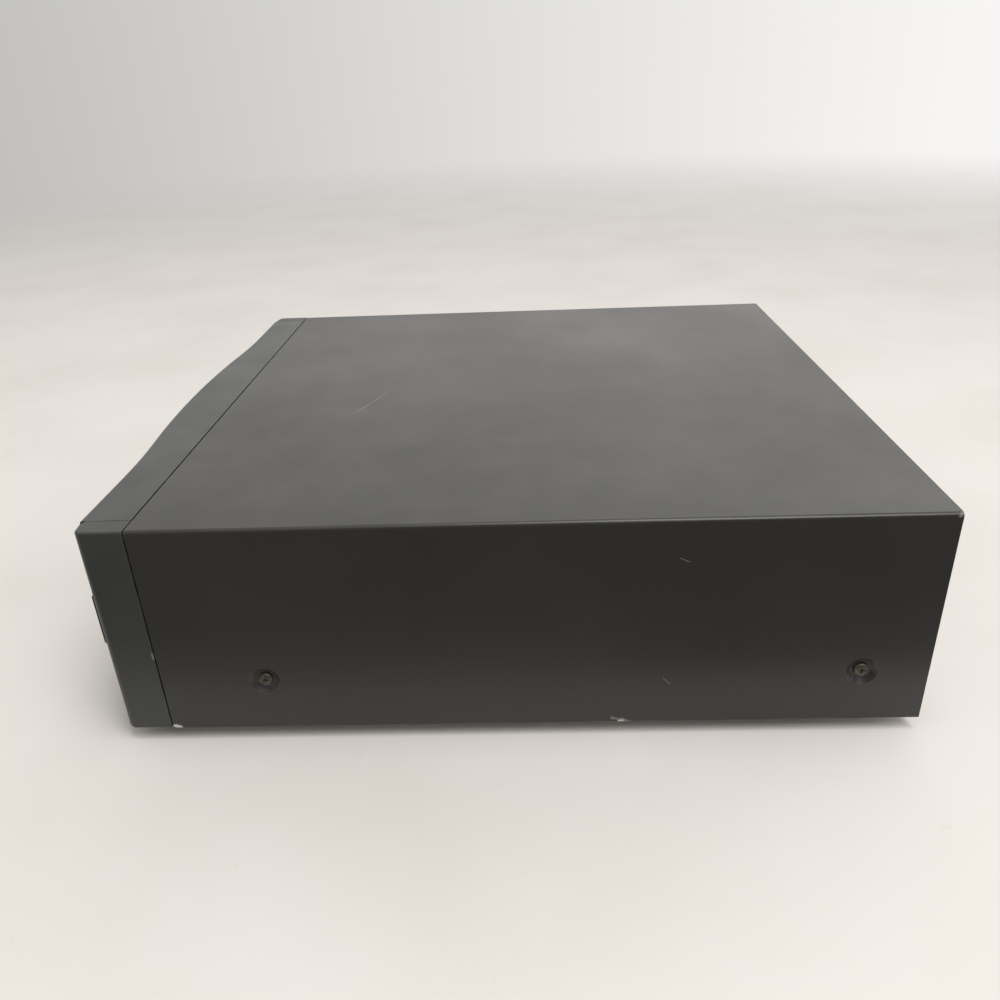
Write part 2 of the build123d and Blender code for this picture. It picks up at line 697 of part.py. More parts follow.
# ---------------------------------------------------------------- drawer
front_half = fascia_half - drawer_front_gap
low_z = opening_bottom + drawer_front_gap
high_z = opening_top - drawer_front_gap
drawer_front = front_slab(front_half, -drawer_front_proud, drawer_front_back, low_z, high_z)
rim_edges = []
for edge in drawer_front.edges():
    centre = edge.center()
    if centre.Y < drawer_front_back - 7 and (centre.Z < low_z + 0.1 or centre.Z > high_z - 0.1):
        rim_edges.append(edge)
drawer_front = fillet(rim_edges, edge_radius)
pocket_half = front_half - drawer_front_wall
drawer_front -= front_slab(pocket_half, drawer_front_wall - drawer_front_proud, drawer_front_back + 1,
                           low_z + drawer_front_wall, high_z - drawer_front_wall)
for rib_x in (-150, -75, 0, 75, 150):
    rib_front = front_line(rib_x) - drawer_front_proud + 1
    drawer_front += block(rib_x - 1, rib_x + 1, rib_front, drawer_front_back, low_z + 1.5, high_z - 1.5)
save("drawer_front", drawer_front)

tray = block(-tray_half, tray_half, tray_front, tray_rear, tray_bottom, tray_top)
tray -= post(0, platter_y, tray_floor_top, tray_top + 1, recess_radius)
inset = (-tray_half + tray_wall, tray_half - tray_wall, tray_front + tray_wall, tray_rear - tray_wall)
tray -= block(*inset, tray_bottom - 1, tray_floor)
corners = block(*inset, tray_floor - 1, tray_top - tray_wall)
corners -= post(0, platter_y, tray_floor - 2, tray_top, recess_radius + tray_wall)
tray -= corners
tray -= block(-lift_cut_half, lift_cut_half, lift_cut_front, tray_rear + 1, tray_bottom - 1, lift_cut_top)
tray += post(0, platter_y, tray_floor, platter_top + touch_gap, centre_post_radius)
glide = post(0, platter_y, tray_floor_top - 0.5, platter_bottom - touch_gap, glide_radius + glide_width / 2)
glide -= post(0, platter_y, tray_floor_top - 1, platter_bottom, glide_radius - glide_width / 2)
glide -= block(-lift_cut_half, lift_cut_half, lift_cut_front, tray_rear, tray_bottom, lift_cut_top)
tray += glide
for side in (-1, 1):
    low, high = sorted((side * (tray_half - 1), side * (tray_half + runner_out)))
    tray += block(low, high, tray_front + 12, tray_rear, runner_bottom, runner_bottom + runner_thickness)
rack_back = rack_x - tooth_drop * rack_module - rack_rib
rack = tooth_row(rack_module, rack_teeth, rack_front, rack_x, rack_bottom, tray_floor + 1, rack_back, 1)
tray += rack
tray -= post(drive_x, drive_y, tray_bottom - 2, tray_floor_top + 1, motor_can_radius + 0.1)
tray -= post(drive_x, drive_y, tray_floor, platter_bottom + 1, drive_radius + 2.6)
tray += block(drive_x - 16, drive_x - 10, drive_y - 16, drive_y + 16, tray_floor, tray_floor_top)
tray -= post(drive_x, drive_y, tray_bottom - 2, tray_floor_top + 1, motor_can_radius + 0.1)
save("drawer_tray", tray)

# Geared motor that turns the platter, and its gear.
can_top = tray_floor_top + 2.5
motor = post(drive_x, drive_y, can_top - motor_can_height, can_top, motor_can_radius)
motor += block(drive_x - 15, drive_x - 5, drive_y - 4, drive_y + 4, tray_floor_top, can_top)
motor += post(drive_x, drive_y, can_top, platter_bottom - touch_gap, gear_shaft_radius)
save("carousel_motor", motor)
gap_turn = drive_angle + 180 + 180 / drive_teeth
carousel_gear = toothed_wheel(ring_module, drive_teeth, drive_x, drive_y, ring_bottom,
                              platter_bottom - touch_gap, gear_shaft_radius + running_clearance, gap_turn)
save("carousel_gear", carousel_gear)

# ---------------------------------------------------------------- platter
platter = post(0, platter_y, platter_bottom, platter_top, platter_radius)
ring = toothed_wheel(ring_module, ring_teeth, 0, platter_y, ring_bottom, platter_bottom,
                     ring_pitch - tooth_drop * ring_module - ring_wall)
save("platter_ring", ring)
for k in range(disc_count):
    angle = 90 + k * 360 / disc_count
    well_x = well_pitch_radius * cos(radians(angle))
    well_y = platter_y + well_pitch_radius * sin(radians(angle))
    platter -= post(well_x, well_y, well_floor, platter_top + 1, disc_well_radius)
    platter -= post(well_x, well_y, well_floor - small_well_depth, platter_top + 1, small_well_radius)
    platter -= post(well_x, well_y, platter_bottom - 1, platter_top + 1, slot_half)
    slot = block(0, disc_well_radius - 0.8, -slot_half, slot_half, platter_bottom - 1, platter_top + 1)
    platter -= Pos(well_x, well_y, 0) * Rot(0, 0, angle - 90) * slot
    rim_angle = radians(angle + 180 / disc_count)
    finger_x = (platter_radius - 12) * cos(rim_angle)
    finger_y = platter_y + (platter_radius - 12) * sin(rim_angle)
    platter -= post(finger_x, finger_y, platter_top - 3.0, platter_top + 1, finger_radius)
platter -= post(0, platter_y, platter_bottom - 1, platter_top + 1, centre_post_radius + centre_bore_clearance)
save("carousel_platter", platter)
platter_cap = post(0, platter_y, platter_top + touch_gap, platter_top + touch_gap + cap_thickness, cap_radius)
platter_cap = fillet(platter_cap.edges().group_by(Axis.Z)[-1], 0.8)
save("platter_cap", platter_cap)

# ---------------------------------------------------------------- drawer guides
rail_inner = tray_half + 2
rail_outer = tray_half + 14
rail_front = fascia_back + 6
rail_rear = tray_rear - 6
rails = []
brackets = []
for side in (-1, 1):
    low, high = sorted((side * rail_inner, side * rail_outer))
    rail = block(low, high, rail_front, rail_rear, 66, 86)
    low, high = sorted((side * (rail_inner - 1), side * (tray_half + runner_out + 0.6)))
    rail -= block(low, high, rail_front - 1, rail_rear + 10, runner_bottom - rail_clearance,
                  runner_bottom + runner_thickness + rail_clearance)
    rails.append(rail)
    low, high = sorted((side * rail_outer, side * (rail_outer + frame_thickness)))
    bracket = block(low, high, rail_front, rail_rear, floor_top, bridge_bottom)
    low, high = sorted((side * rail_outer, side * (rail_outer + 13)))
    bracket += block(low, high, rail_front, rail_rear, floor_top, floor_top + frame_thickness)
    bracket += block(low, high, rail_front, rail_rear, bridge_bottom - frame_thickness, bridge_bottom)
    brackets.append(bracket)
save("drawer_rails", *rails)
save("side_brackets", *brackets)

# ---------------------------------------------------------------- drawer drive
pinion_top = tray_floor - 0.6
deck_left = pinion_x - 36.2
deck_right = motor_pulley_x + 17.6
deck_front = pinion_y - 29
deck_rear = pinion_y + 33
deck = block(deck_left, deck_right, deck_front, deck_rear, deck_top - deck_thickness, deck_top)
for leg_x in (deck_left + 6, deck_right - 6):
    for leg_y in (deck_front + 6, deck_rear - 6):
        deck += post(leg_x, leg_y, floor_top, deck_top - deck_thickness, 4.0)
deck += post(pinion_x, pinion_y, deck_top, wheel_bottom - touch_gap, 5.0)
deck += post(pinion_x, pinion_y, deck_top, pinion_top, axle_radius)
deck += post(pulley_x, pinion_y, deck_top, wheel_bottom + wheel_thickness, axle_radius)
deck -= post(motor_pulley_x, pinion_y, deck_top - 5, deck_top + 1, 3.0)
save("loading_deck", deck)
# The rack's nearest tooth sets how the pinion is turned.
step = pi * rack_module
offset = (pinion_y - rack_front) / step
pinion_turn = 180 + (offset - round(offset) + 0.5) * 360 / pinion_teeth
bore = axle_radius + running_clearance
pinion_low = rack_bottom + 0.5
wheel_top = wheel_bottom + wheel_thickness
drawer_gear = toothed_wheel(rack_module, pinion_teeth, pinion_x, pinion_y, pinion_low, pinion_top, bore,
                            pinion_turn)
drawer_gear += post(pinion_x, pinion_y, wheel_bottom, pinion_low, 8.0) - post(pinion_x, pinion_y, 0, 99, bore)
drawer_gear += toothed_wheel(wheel_module, wheel_teeth, pinion_x, pinion_y, wheel_bottom, wheel_top, bore)
save("drawer_gear", drawer_gear)
small_turn = 180 + 180 / small_gear_teeth
pulley_top = pulley_bottom + pulley_thickness
groove_low = pulley_bottom + 0.6
groove_high = pulley_top - 0.6
belt_pulley = toothed_wheel(wheel_module, small_gear_teeth, pulley_x, pinion_y, pulley_top, wheel_top + 0.5,
                            bore, small_turn)
pulley_disc = post(pulley_x, pinion_y, pulley_bottom, pulley_top, pulley_radius + pulley_rim)
groove = post(pulley_x, pinion_y, groove_low, groove_high, pulley_radius + 5)
groove -= post(pulley_x, pinion_y, 0, 99, pulley_radius - belt_thickness)
belt_pulley += pulley_disc - groove - post(pulley_x, pinion_y, 0, 99, bore)
save("belt_pulley", belt_pulley)
motor_pulley = post(motor_pulley_x, pinion_y, pulley_bottom, pulley_top, motor_pulley_radius + pulley_rim)
groove = post(motor_pulley_x, pinion_y, groove_low, groove_high, motor_pulley_radius + 5)
groove -= post(motor_pulley_x, pinion_y, 0, 99, motor_pulley_radius - belt_thickness)
motor_pulley -= groove
motor_pulley -= post(motor_pulley_x, pinion_y, 0, 99, shaft_radius + running_clearance)
save("motor_pulley", motor_pulley)
can_high = deck_top - deck_thickness
loading_motor = post(motor_pulley_x, pinion_y, can_high - loading_can_height, can_high, loading_can_radius)
loading_motor += post(motor_pulley_x, pinion_y, can_high, pulley_top, shaft_radius)
save("loading_motor", loading_motor)
# Belt round both pulleys: two arcs and the two straight runs that touch them.
belt_low = pulley_bottom + 0.9
belt_high = pulley_top - 0.9
big = pulley_radius - belt_thickness + belt_gap
small = motor_pulley_radius - belt_thickness + belt_gap


def belt_face(big_radius, small_radius):
    """Outline that wraps two circles on the line of the pulleys."""
    lean = (big_radius - small_radius) / motor_distance
    rise = sqrt(1 - lean**2)
    big_top = (pulley_x + big_radius * lean, pinion_y + big_radius * rise)
    big_low = (pulley_x + big_radius * lean, pinion_y - big_radius * rise)
    small_top = (motor_pulley_x + small_radius * lean, pinion_y + small_radius * rise)
    small_low = (motor_pulley_x + small_radius * lean, pinion_y - small_radius * rise)
    edges = [ThreePointArc(big_top, (pulley_x - big_radius, pinion_y), big_low), Line(big_low, small_low)]
    edges.append(ThreePointArc(small_low, (motor_pulley_x + small_radius, pinion_y), small_top))
    edges.append(Line(small_top, big_top))
    return make_face(edges)


belt = belt_face(big + belt_thickness, small + belt_thickness) - belt_face(big, small)
save("loading_belt", Pos(0, 0, belt_low) * extrude(belt, amount=belt_high - belt_low))

# ---------------------------------------------------------------- clamp over the drawer
bridge_end = rail_outer + 12
bridge_top = bridge_bottom + frame_thickness
bridge_front = spindle_y - bridge_half
bridge_rear = spindle_y + bridge_half
bridge = block(-bridge_end, bridge_end, bridge_front, bridge_rear, bridge_bottom, bridge_top)
lip_half = rail_outer - 19
for lip_y in (bridge_front, bridge_rear - frame_thickness):
    bridge += block(-lip_half, lip_half, lip_y, lip_y + frame_thickness, bridge_bottom - 5, bridge_bottom)
bridge -= post(0, spindle_y, bridge_bottom - 1, bridge_top + 1, clamper_neck_radius + clamper_hole_clearance)
save("clamp_bridge", bridge)
clamper = post(0, spindle_y, clamper_bottom, bridge_bottom - 3, clamper_radius)
clamper = fillet(clamper.edges().group_by(Axis.Z)[0], 1.0)
clamper += post(0, spindle_y, bridge_bottom - 3, bridge_top + 1, clamper_neck_radius)
clamper += post(0, spindle_y, bridge_top + touch_gap, bridge_top + touch_gap + 2, clamper_radius - 1)
clamper -= post(0, spindle_y, clamper_bottom - 1, clamper_bottom + cone_height + 1, cone_radius + 1.7)
save("clamper", clamper)

# ---------------------------------------------------------------- pickup cradle on the case floor
cradle_top = floor_top + 2.5
cradle_front = spindle_y - 61
cradle_rear = spindle_y + 63
cradle = block(-98, 118, cradle_front, cradle_rear, floor_top, cradle_top)
cradle -= block(-62, 64, spindle_y - 39, spindle_y + 39, floor_top - 1, cradle_top + 1)
pin_ends = ((base_front - hinge_pin_length, base_front), (base_rear, base_rear + hinge_pin_length))
for near, far in ((base_front - bearing_gap - bearing_thickness, base_front - bearing_gap),
                  (base_rear + bearing_gap, base_rear + bearing_gap + bearing_thickness)):
    cradle += block(hinge_x - 8, hinge_x + 8, near, far, cradle_top - 0.5, hinge_z - 8)
    cradle += block(hinge_x - 5.5, hinge_x + 5.5, near, far, hinge_z - 8.5, hinge_z + 5.5)
    cradle -= bar_y(hinge_x, near - 1, far + 1, hinge_z, hinge_pin_radius + running_clearance)
cradle += block(slider_x - 3, slider_x - 1.5, cradle_front, cradle_rear, cradle_top - 0.5, cradle_top + 9)
for near, far in ((cradle_front, cradle_front + 30), (cradle_rear - 29, cradle_rear)):
    cradle += block(lift_pitch_x + 2, lift_pitch_x + 4, near, far, cradle_top - 0.5, cradle_top + 7)
lift_axle_top = lift_gear_bottom + lift_gear_thickness + 0.2
cradle += post(lift_gear_x, spindle_y, cradle_top - 0.5, lift_axle_top, axle_radius)
save("pickup_cradle", cradle)

lift_gear = toothed_wheel(lift_module, lift_teeth, lift_gear_x, spindle_y, lift_gear_bottom,
                          lift_gear_bottom + lift_gear_thickness, bore, 180 + 180 / lift_teeth)
save("lift_gear", lift_gear)
gearbox_low = lift_gear_bottom + lift_gear_thickness + 0.6
lift_motor = block(lift_gear_x - 9, 118, spindle_y - 10, spindle_y + 32, gearbox_low, gearbox_low + 14)
lift_motor += block(lift_gear_x - 4, 118, spindle_y + 22, spindle_y + 32, cradle_top, gearbox_low)
lift_motor += post(lift_gear_x + 1, spindle_y + 12, gearbox_low + 14, gearbox_low + 36, 9.5)
save("lift_motor", lift_motor)

# The slider's slope is set by where the base's pin stands when it is low and when it is high.
reach = slider_middle - hinge_x
pin_up = lift_pin_z - hinge_z
lean = radians(lift_angle)
pin_run = (reach - pin_up * sin(lean)) / cos(lean)
pin_low_z = hinge_z - pin_run * sin(lean) + pin_up * cos(lean)
plate_front = spindle_y - 55
plate_rear = spindle_y + 13
plate = [(plate_front, lift_gear_bottom), (plate_rear, lift_gear_bottom), (plate_rear, slider_low_top)]
plate += [(spindle_y - 33, slider_top), (plate_front, slider_top)]
slider_face = make_face(Polyline(*plate, close=True))
slope_rise = lift_pin_z - pin_low_z
slope_length = hypot(slider_travel, slope_rise) + 2
slot_middle = (spindle_y - slider_travel / 2, (pin_low_z + lift_pin_z) / 2)
slope_turn = degrees(atan2(slope_rise, -slider_travel))
slot_width = 2 * lift_pin_radius + 1.4
slot_face = Pos(*slot_middle) * Rot(0, 0, slope_turn) * SlotCenterToCenter(slope_length, slot_width)
slider = Plane.YZ * (slider_face - slot_face)
slider = Pos(slider_x, 0, 0) * extrude(slider, amount=slider_plate)
foot_low = lift_gear_bottom - 0.1
slider_teeth = 14
slider_start = spindle_y - 11 * pi * lift_module
slider += tooth_row(lift_module, slider_teeth, slider_start, lift_pitch_x, foot_low, foot_low + 6,
                    slider_x - 1.1, 1)
save("lift_slider", slider)


# ---------------------------------------------------------------- lifting pickup, lowered about its hinge
def lowered(shape):
    """Turn a piece from the raised place to the low place where it rests."""
    return shape.rotate(Axis((hinge_x, 0, hinge_z), (0, 1, 0)), lift_angle)


skirt_low = base_plate_bottom - base_skirt
plate_top = base_plate_bottom + base_plate
base = block(base_left, base_right, base_front, base_rear, skirt_low, plate_top)
base -= block(base_left - 1, base_right - base_skirt_wall, base_front + base_skirt_wall,
              base_rear - base_skirt_wall, skirt_low - 1, base_plate_bottom)
lens_slot_left = lens_start - 11.5
lens_slot_right = lens_start + lens_travel + 20.5
base -= block(lens_slot_left, lens_slot_right, spindle_y - 13, spindle_y + 13,
              base_plate_bottom - 1, plate_top + 1)
base -= post(0, spindle_y, base_plate_bottom - 1, plate_top + 1, 6.0)
for side, edge_y in ((-1, base_front), (1, base_rear)):
    low, high = sorted((edge_y, edge_y - side * 3))
    base += block(hinge_x - 5, base_left + 12, low, high, hinge_z - 5, hinge_z + 5)
    low, high = sorted((edge_y - side, edge_y + side * hinge_pin_length))
    base += bar_y(hinge_x, low, high, hinge_z, hinge_pin_radius)
    rod_y = spindle_y + side * rod_half_spread
    for near, far in ((rod_start - 1, rod_start + 3), (rod_end - 2.5, rod_end + 0.5)):
        base += block(near, far, rod_y - 2.6, rod_y + 2.6, rod_z - 2.6, base_plate_bottom + 0.5)
    base -= bar_x(rod_start, rod_end, rod_y, rod_z, rod_radius)
base += bar_x(base_right - 1, slider_x + slider_plate + 1.5, spindle_y, lift_pin_z, lift_pin_radius)
save("pickup_base", lowered(base))

rods = []
for side in (-1, 1):
    rods.append(lowered(bar_x(rod_start, rod_end, spindle_y + side * rod_half_spread, rod_z, rod_radius)))
save("guide_rods", *rods)

gear_pitch_y = spindle_y - sled_rack_reach
gear_radius = sled_rack_module * sled_gear_teeth / 2
gear_y = gear_pitch_y - gear_radius - mesh_gap
can_low = base_plate_bottom - spindle_can_height
spindle_can = post(0, spindle_y, can_low, base_plate_bottom, spindle_can_radius)
spindle_can += post(0, spindle_y, base_plate_bottom, plate_top, 4.0)
spindle_can -= post(0, spindle_y, base_plate_bottom - 6, plate_top + 1, shaft_radius + running_clearance)
sled_motor = post(sled_gear_x, gear_y, base_plate_bottom - 5, base_plate_bottom, 5.4)
sled_motor += post(sled_gear_x, gear_y, sled_bottom, base_plate_bottom - 5, shaft_radius)
save("pickup_motors", lowered(spindle_can), lowered(sled_motor))

hub = post(0, spindle_y, base_plate_bottom - 5.5, plate_top + 1, shaft_radius)
hub += post(0, spindle_y, plate_top + touch_gap, disc_seat_z - 2, 5.0)
hub += post(0, spindle_y, disc_seat_z - 2, disc_seat_z, seat_radius)
hub += post(0, spindle_y, disc_seat_z, disc_seat_z + cone_height, cone_radius, 5.0)
save("spindle_hub", lowered(hub))

sled_left = lens_start - 9
sled_right = lens_start + 14
sled_top = sled_bottom + sled_height
sled = block(sled_left, sled_right, spindle_y - sled_half, spindle_y + sled_half, sled_bottom, sled_top)
sled += block(lens_start - 8, lens_start + 11, spindle_y - 11, spindle_y + 11,
              sled_top - 1, platter_bottom - 1)
sled += post(lens_start, spindle_y, platter_bottom - 1.5, lens_top - 1.2, lens_radius)
sled += post(lens_start, spindle_y, lens_top - 1.2, lens_top, lens_radius - 0.4, 2.2)
rack_teeth_count = 17
rack_begin = sled_right - (rack_teeth_count - 0.5) * pi * sled_rack_module
sled_rack_top = sled_bottom + 4
sled_rack = tooth_row(sled_rack_module, rack_teeth_count, rack_begin, sled_rack_reach, sled_bottom,
                      sled_rack_top, sled_half - 1, 1)
sled += Pos(0, spindle_y, 0) * sled_rack.rotate(Axis.Z, -90)
rod_bore = rod_radius + running_clearance
for side in (-1, 1):
    sled -= bar_x(sled_left - 1, sled_right + 1, spindle_y + side * rod_half_spread, rod_z, rod_bore)
save("pickup_sled", lowered(sled))
offset = (sled_gear_x - rack_begin) / (pi * sled_rack_module)
sled_turn = 90 + (offset - round(offset) + 0.5) * 360 / sled_gear_teeth
sled_gear = toothed_wheel(sled_rack_module, sled_gear_teeth, sled_gear_x, gear_y, sled_bottom,
                          sled_rack_top, shaft_radius + running_clearance, sled_turn)
save("sled_gear", lowered(sled_gear))

# ---------------------------------------------------------------- electronics and rear connectors
board_low = floor_top + 6
board_high = board_low + board_thickness
board_near = board_rear - main_board_length
main_board = block(board_left, board_right, board_near, board_rear, board_low, board_high)
for stand_x in (board_left + 5, board_right - 5):
    for stand_y in (board_near + 6, board_rear - 6):
        main_board += post(stand_x, stand_y, floor_top, board_low, 3.0)
# Capacitors as cans and chips with a heat sink as blocks, placed from the board's near left corner.
for across, along, radius, height in ((16, 40, 8, 22), (36, 40, 8, 22), (16, 64, 5, 12), (64, 130, 6, 16)):
    main_board += post(board_left + across, board_near + along, board_high, board_high + height, radius)
chips = ((44, 90, 14, 14, 3), (26, 130, 9, 6, 3), (56, 40, 4, 16, 24), (26, 160, 12, 4, 3))
for across, along, half_x, half_y, height in chips:
    part_x = board_left + across
    part_y = board_near + along
    main_board += block(part_x - half_x, part_x + half_x, part_y - half_y, part_y + half_y,
                        board_high, board_high + height)
save("main_board", main_board)

core_x = 45.5 - half_width
core_y = panel_front - 47.2
transformer = block(core_x - 33, core_x + 33, core_y - 12, core_y + 12, floor_top + 2, floor_top + 54)
transformer += block(core_x - 22, core_x + 22, core_y - 24, core_y + 24, floor_top + 12, floor_top + 44)
transformer += block(core_x - 38, core_x + 38, core_y - 14, core_y + 14, floor_top, floor_top + 2)
save("transformer", transformer)

block_front = panel_front - 14
rca = block(jacks_x - 15, jacks_x + 15, block_front, panel_front, board_high, jacks_z + 8)
for k in range(2):
    jack_at = jacks_x + (k - 0.5) * jack_spacing
    rca += bar_y(jack_at, panel_front, panel_rear + 1.2, jacks_z, 5.0)
    rca += bar_y(jack_at, panel_rear, rear_end, jacks_z, jack_barrel_radius)
    rca -= bar_y(jack_at, panel_front - 4, rear_end + 1, jacks_z, jack_hole_radius)
optical = block(optical_x - 7, optical_x + 7, panel_front - 12, panel_front, board_high, jacks_z + 7)
optical += block(optical_x - 4.8, optical_x + 4.8, panel_front, panel_rear + 1, jacks_z - 4.8, jacks_z + 4.8)
remote = block(remote_x - 6, remote_x + 6, panel_front - 12, panel_front, board_high, jacks_z + 6)
remote += bar_y(remote_x, panel_front, panel_rear + 1, jacks_z, 4.0)
remote -= bar_y(remote_x, panel_front - 10, panel_rear + 2, jacks_z, 1.8)
save("rear_jacks", rca, optical, remote)

inlet = block(inlet_x - 16, inlet_x + 16, panel_front - 18, panel_front, inlet_z - 10.5, inlet_z + 10.5)
inlet += block(inlet_x - 12.8, inlet_x + 12.8, panel_front, panel_rear + 1, inlet_z - 8.8, inlet_z + 8.8)
inlet_cavity = block(inlet_x - 9, inlet_x + 9, panel_front - 13, panel_rear + 2, inlet_z - 5, inlet_z + 5)
inlet -= fillet(inlet_cavity.edges().filter_by(Axis.Y), 4.5)
for pin_x in (inlet_x - 4.3, inlet_x + 4.3):
    inlet += bar_y(pin_x, panel_front - 14, panel_front - 1, inlet_z, 1.2)
save("mains_inlet", inlet)
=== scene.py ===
import math

import bmesh
import bpy
from mathutils import Matrix, Vector


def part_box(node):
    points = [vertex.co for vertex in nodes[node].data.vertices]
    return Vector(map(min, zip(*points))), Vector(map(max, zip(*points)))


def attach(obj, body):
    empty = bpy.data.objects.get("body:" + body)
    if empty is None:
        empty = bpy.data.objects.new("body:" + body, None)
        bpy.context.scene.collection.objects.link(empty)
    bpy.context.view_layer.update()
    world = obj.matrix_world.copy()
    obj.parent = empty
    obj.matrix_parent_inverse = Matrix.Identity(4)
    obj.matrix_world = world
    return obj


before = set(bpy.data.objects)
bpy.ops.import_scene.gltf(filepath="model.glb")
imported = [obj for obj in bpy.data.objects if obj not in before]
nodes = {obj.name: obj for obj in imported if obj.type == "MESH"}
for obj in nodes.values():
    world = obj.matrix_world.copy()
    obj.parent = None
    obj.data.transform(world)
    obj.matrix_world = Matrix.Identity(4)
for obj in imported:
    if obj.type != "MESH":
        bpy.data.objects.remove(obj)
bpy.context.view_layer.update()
scene = bpy.context.scene

# ------------------------------------------------------------------ viewpoint
# The camera stands off the right-hand side of the case, near its middle and well above it,
# and looks down on the cover with a moderately wide lens.
camera = bpy.data.objects.new("camera", bpy.data.cameras.new("camera"))
camera.data.sensor_width = 36.0
camera.data.lens = 30.993
camera.data.clip_start = 0.01
camera_right = Vector((-0.022817, 0.999016, -0.038023)).normalized()
camera_up = Vector((-0.447170, 0.023819, 0.894132)).normalized()
camera_back = camera_right.cross(camera_up)
camera.matrix_world = Matrix.Translation((0.606328, 0.014142, 0.347535)) @ Matrix(
    (camera_right, camera_up, camera_back)).transposed().to_4x4()
scene.collection.objects.link(camera)
scene.camera = camera
scene.view_settings.view_transform = "Standard"


# ------------------------------------------------------------------ table and room
# A pale, slightly scuffed table sheet that runs out into a pale room, a little dimmer to the left.
# One soft lamp hangs over the near side. Two dark studio cards, one standing and one lying, only show
# as reflections in the near side of the case.
def put(tree, kind, inputs=None, **fields):
    """Add one node to a tree, set its fields, and set or link its inputs."""
    node = tree.nodes.new(kind)
    for field, value in fields.items():
        setattr(node, field, value)
    for socket, value in (inputs or {}).items():
        if isinstance(value, bpy.types.NodeSocket):
            tree.links.new(value, node.inputs[socket])
        else:
            node.inputs[socket].default_value = value
    return node


def blend_colour(tree, share, first, second):
    """Colour between two others."""
    colours = {6: first, 7: second}
    inputs = {0: share}
    for socket, colour in colours.items():
        inputs[socket] = colour if isinstance(colour, bpy.types.NodeSocket) else (*colour, 1.0)
    return put(tree, "ShaderNodeMix", inputs, data_type="RGBA").outputs[2]


def spread(tree, value, low, high, to_low=0.0, to_high=1.0, smooth=False):
    """Stretch a value from one range to another, held inside it."""
    inputs = {0: value, 1: low, 2: high, 3: to_low, 4: to_high}
    kind = "SMOOTHSTEP" if smooth else "LINEAR"
    return put(tree, "ShaderNodeMapRange", inputs, interpolation_type=kind).outputs[0]


def new_material(name):
    """Plain material; returns it with its node tree and its shader."""
    material = bpy.data.materials.new(name)
    material.use_nodes = True
    return material, material.node_tree, material.node_tree.nodes["Principled BSDF"]


def own_place(tree):
    """Place on the piece itself."""
    return put(tree, "ShaderNodeTexCoord").outputs["Object"]


def noise(tree, place, scale, detail):
    """Cloudy pattern from 0 to 1."""
    inputs = {"Vector": place, "Scale": scale, "Detail": detail}
    return put(tree, "ShaderNodeTexNoise", inputs).outputs["Fac"]


room_dim = (0.490, 0.480, 0.462)
room_bright = (0.930, 0.918, 0.910)
wall_dim = (0.960, 0.950, 0.940)
wall_bright = (1.500, 1.485, 1.470)
ceiling_shade = (0.500, 0.490, 0.480)
low_wall_span = (-0.62, 0.42)
lit_wall_span = (-0.50, 0.50)
near_side_span = (-0.15, 0.45)
ceiling_span = (0.50, 0.80)
wall_height_span = (0.09, 0.30)
table_colour = (0.735, 0.708, 0.678)
table_mark = (0.640, 0.605, 0.565)
table_radius = 8.0
fade_start = 1.1
fade_end = 3.6

room = bpy.data.worlds.new("pale_room")
room.use_nodes = True
tree = room.node_tree
direction = put(tree, "ShaderNodeTexCoord").outputs["Generated"]
heading = put(tree, "ShaderNodeSeparateXYZ", {0: direction}).outputs
low_walls = blend_colour(tree, spread(tree, heading["Y"], *low_wall_span), room_dim, room_bright)
lit_walls = blend_colour(tree, spread(tree, heading["Y"], *lit_wall_span), wall_dim, wall_bright)
ceiling = blend_colour(tree, spread(tree, heading["X"], *near_side_span), lit_walls, ceiling_shade)
ceiling = blend_colour(tree, spread(tree, heading["Z"], *ceiling_span), ceiling, ceiling_shade)
all_round = blend_colour(tree, spread(tree, heading["Z"], *wall_height_span), low_walls, ceiling)
tree.links.new(all_round, tree.nodes["Background"].inputs["Color"])
tree.nodes["Background"].inputs["Strength"].default_value = 1.0
scene.world = room

table_mesh = bpy.data.meshes.new("table_sheet")
shape = bmesh.new()
bmesh.ops.create_circle(shape, cap_ends=True, segments=96, radius=table_radius)
shape.to_mesh(table_mesh)
shape.free()
table = bpy.data.objects.new("table_sheet", table_mesh)
scene.collection.objects.link(table)
table_material, tree, shader = new_material("table_sheet")
shader.inputs["Roughness"].default_value = 0.85
shader.inputs["Specular IOR Level"].default_value = 0.08
place = own_place(tree)
cloud = noise(tree, place, 5.0, 5.0)
specks = noise(tree, place, 85.0, 3.0)
cloudy = blend_colour(tree, spread(tree, cloud, 0.42, 0.72, 0.0, 0.45), table_colour, table_mark)
marked = blend_colour(tree, spread(tree, specks, 0.70, 0.78, 0.0, 0.6), cloudy, table_mark)
tree.links.new(marked, shader.inputs["Base Color"])
distance = put(tree, "ShaderNodeVectorMath", {0: place}, operation="LENGTH").outputs["Value"]
thinning = spread(tree, distance, fade_start, fade_end, smooth=True)
clear = put(tree, "ShaderNodeBsdfTransparent")
faded = put(tree, "ShaderNodeMixShader", {0: thinning, 1: shader.outputs[0], 2: clear.outputs[0]})
tree.links.new(faded.outputs[0], tree.nodes["Material Output"].inputs["Surface"])
table.data.materials.append(table_material)

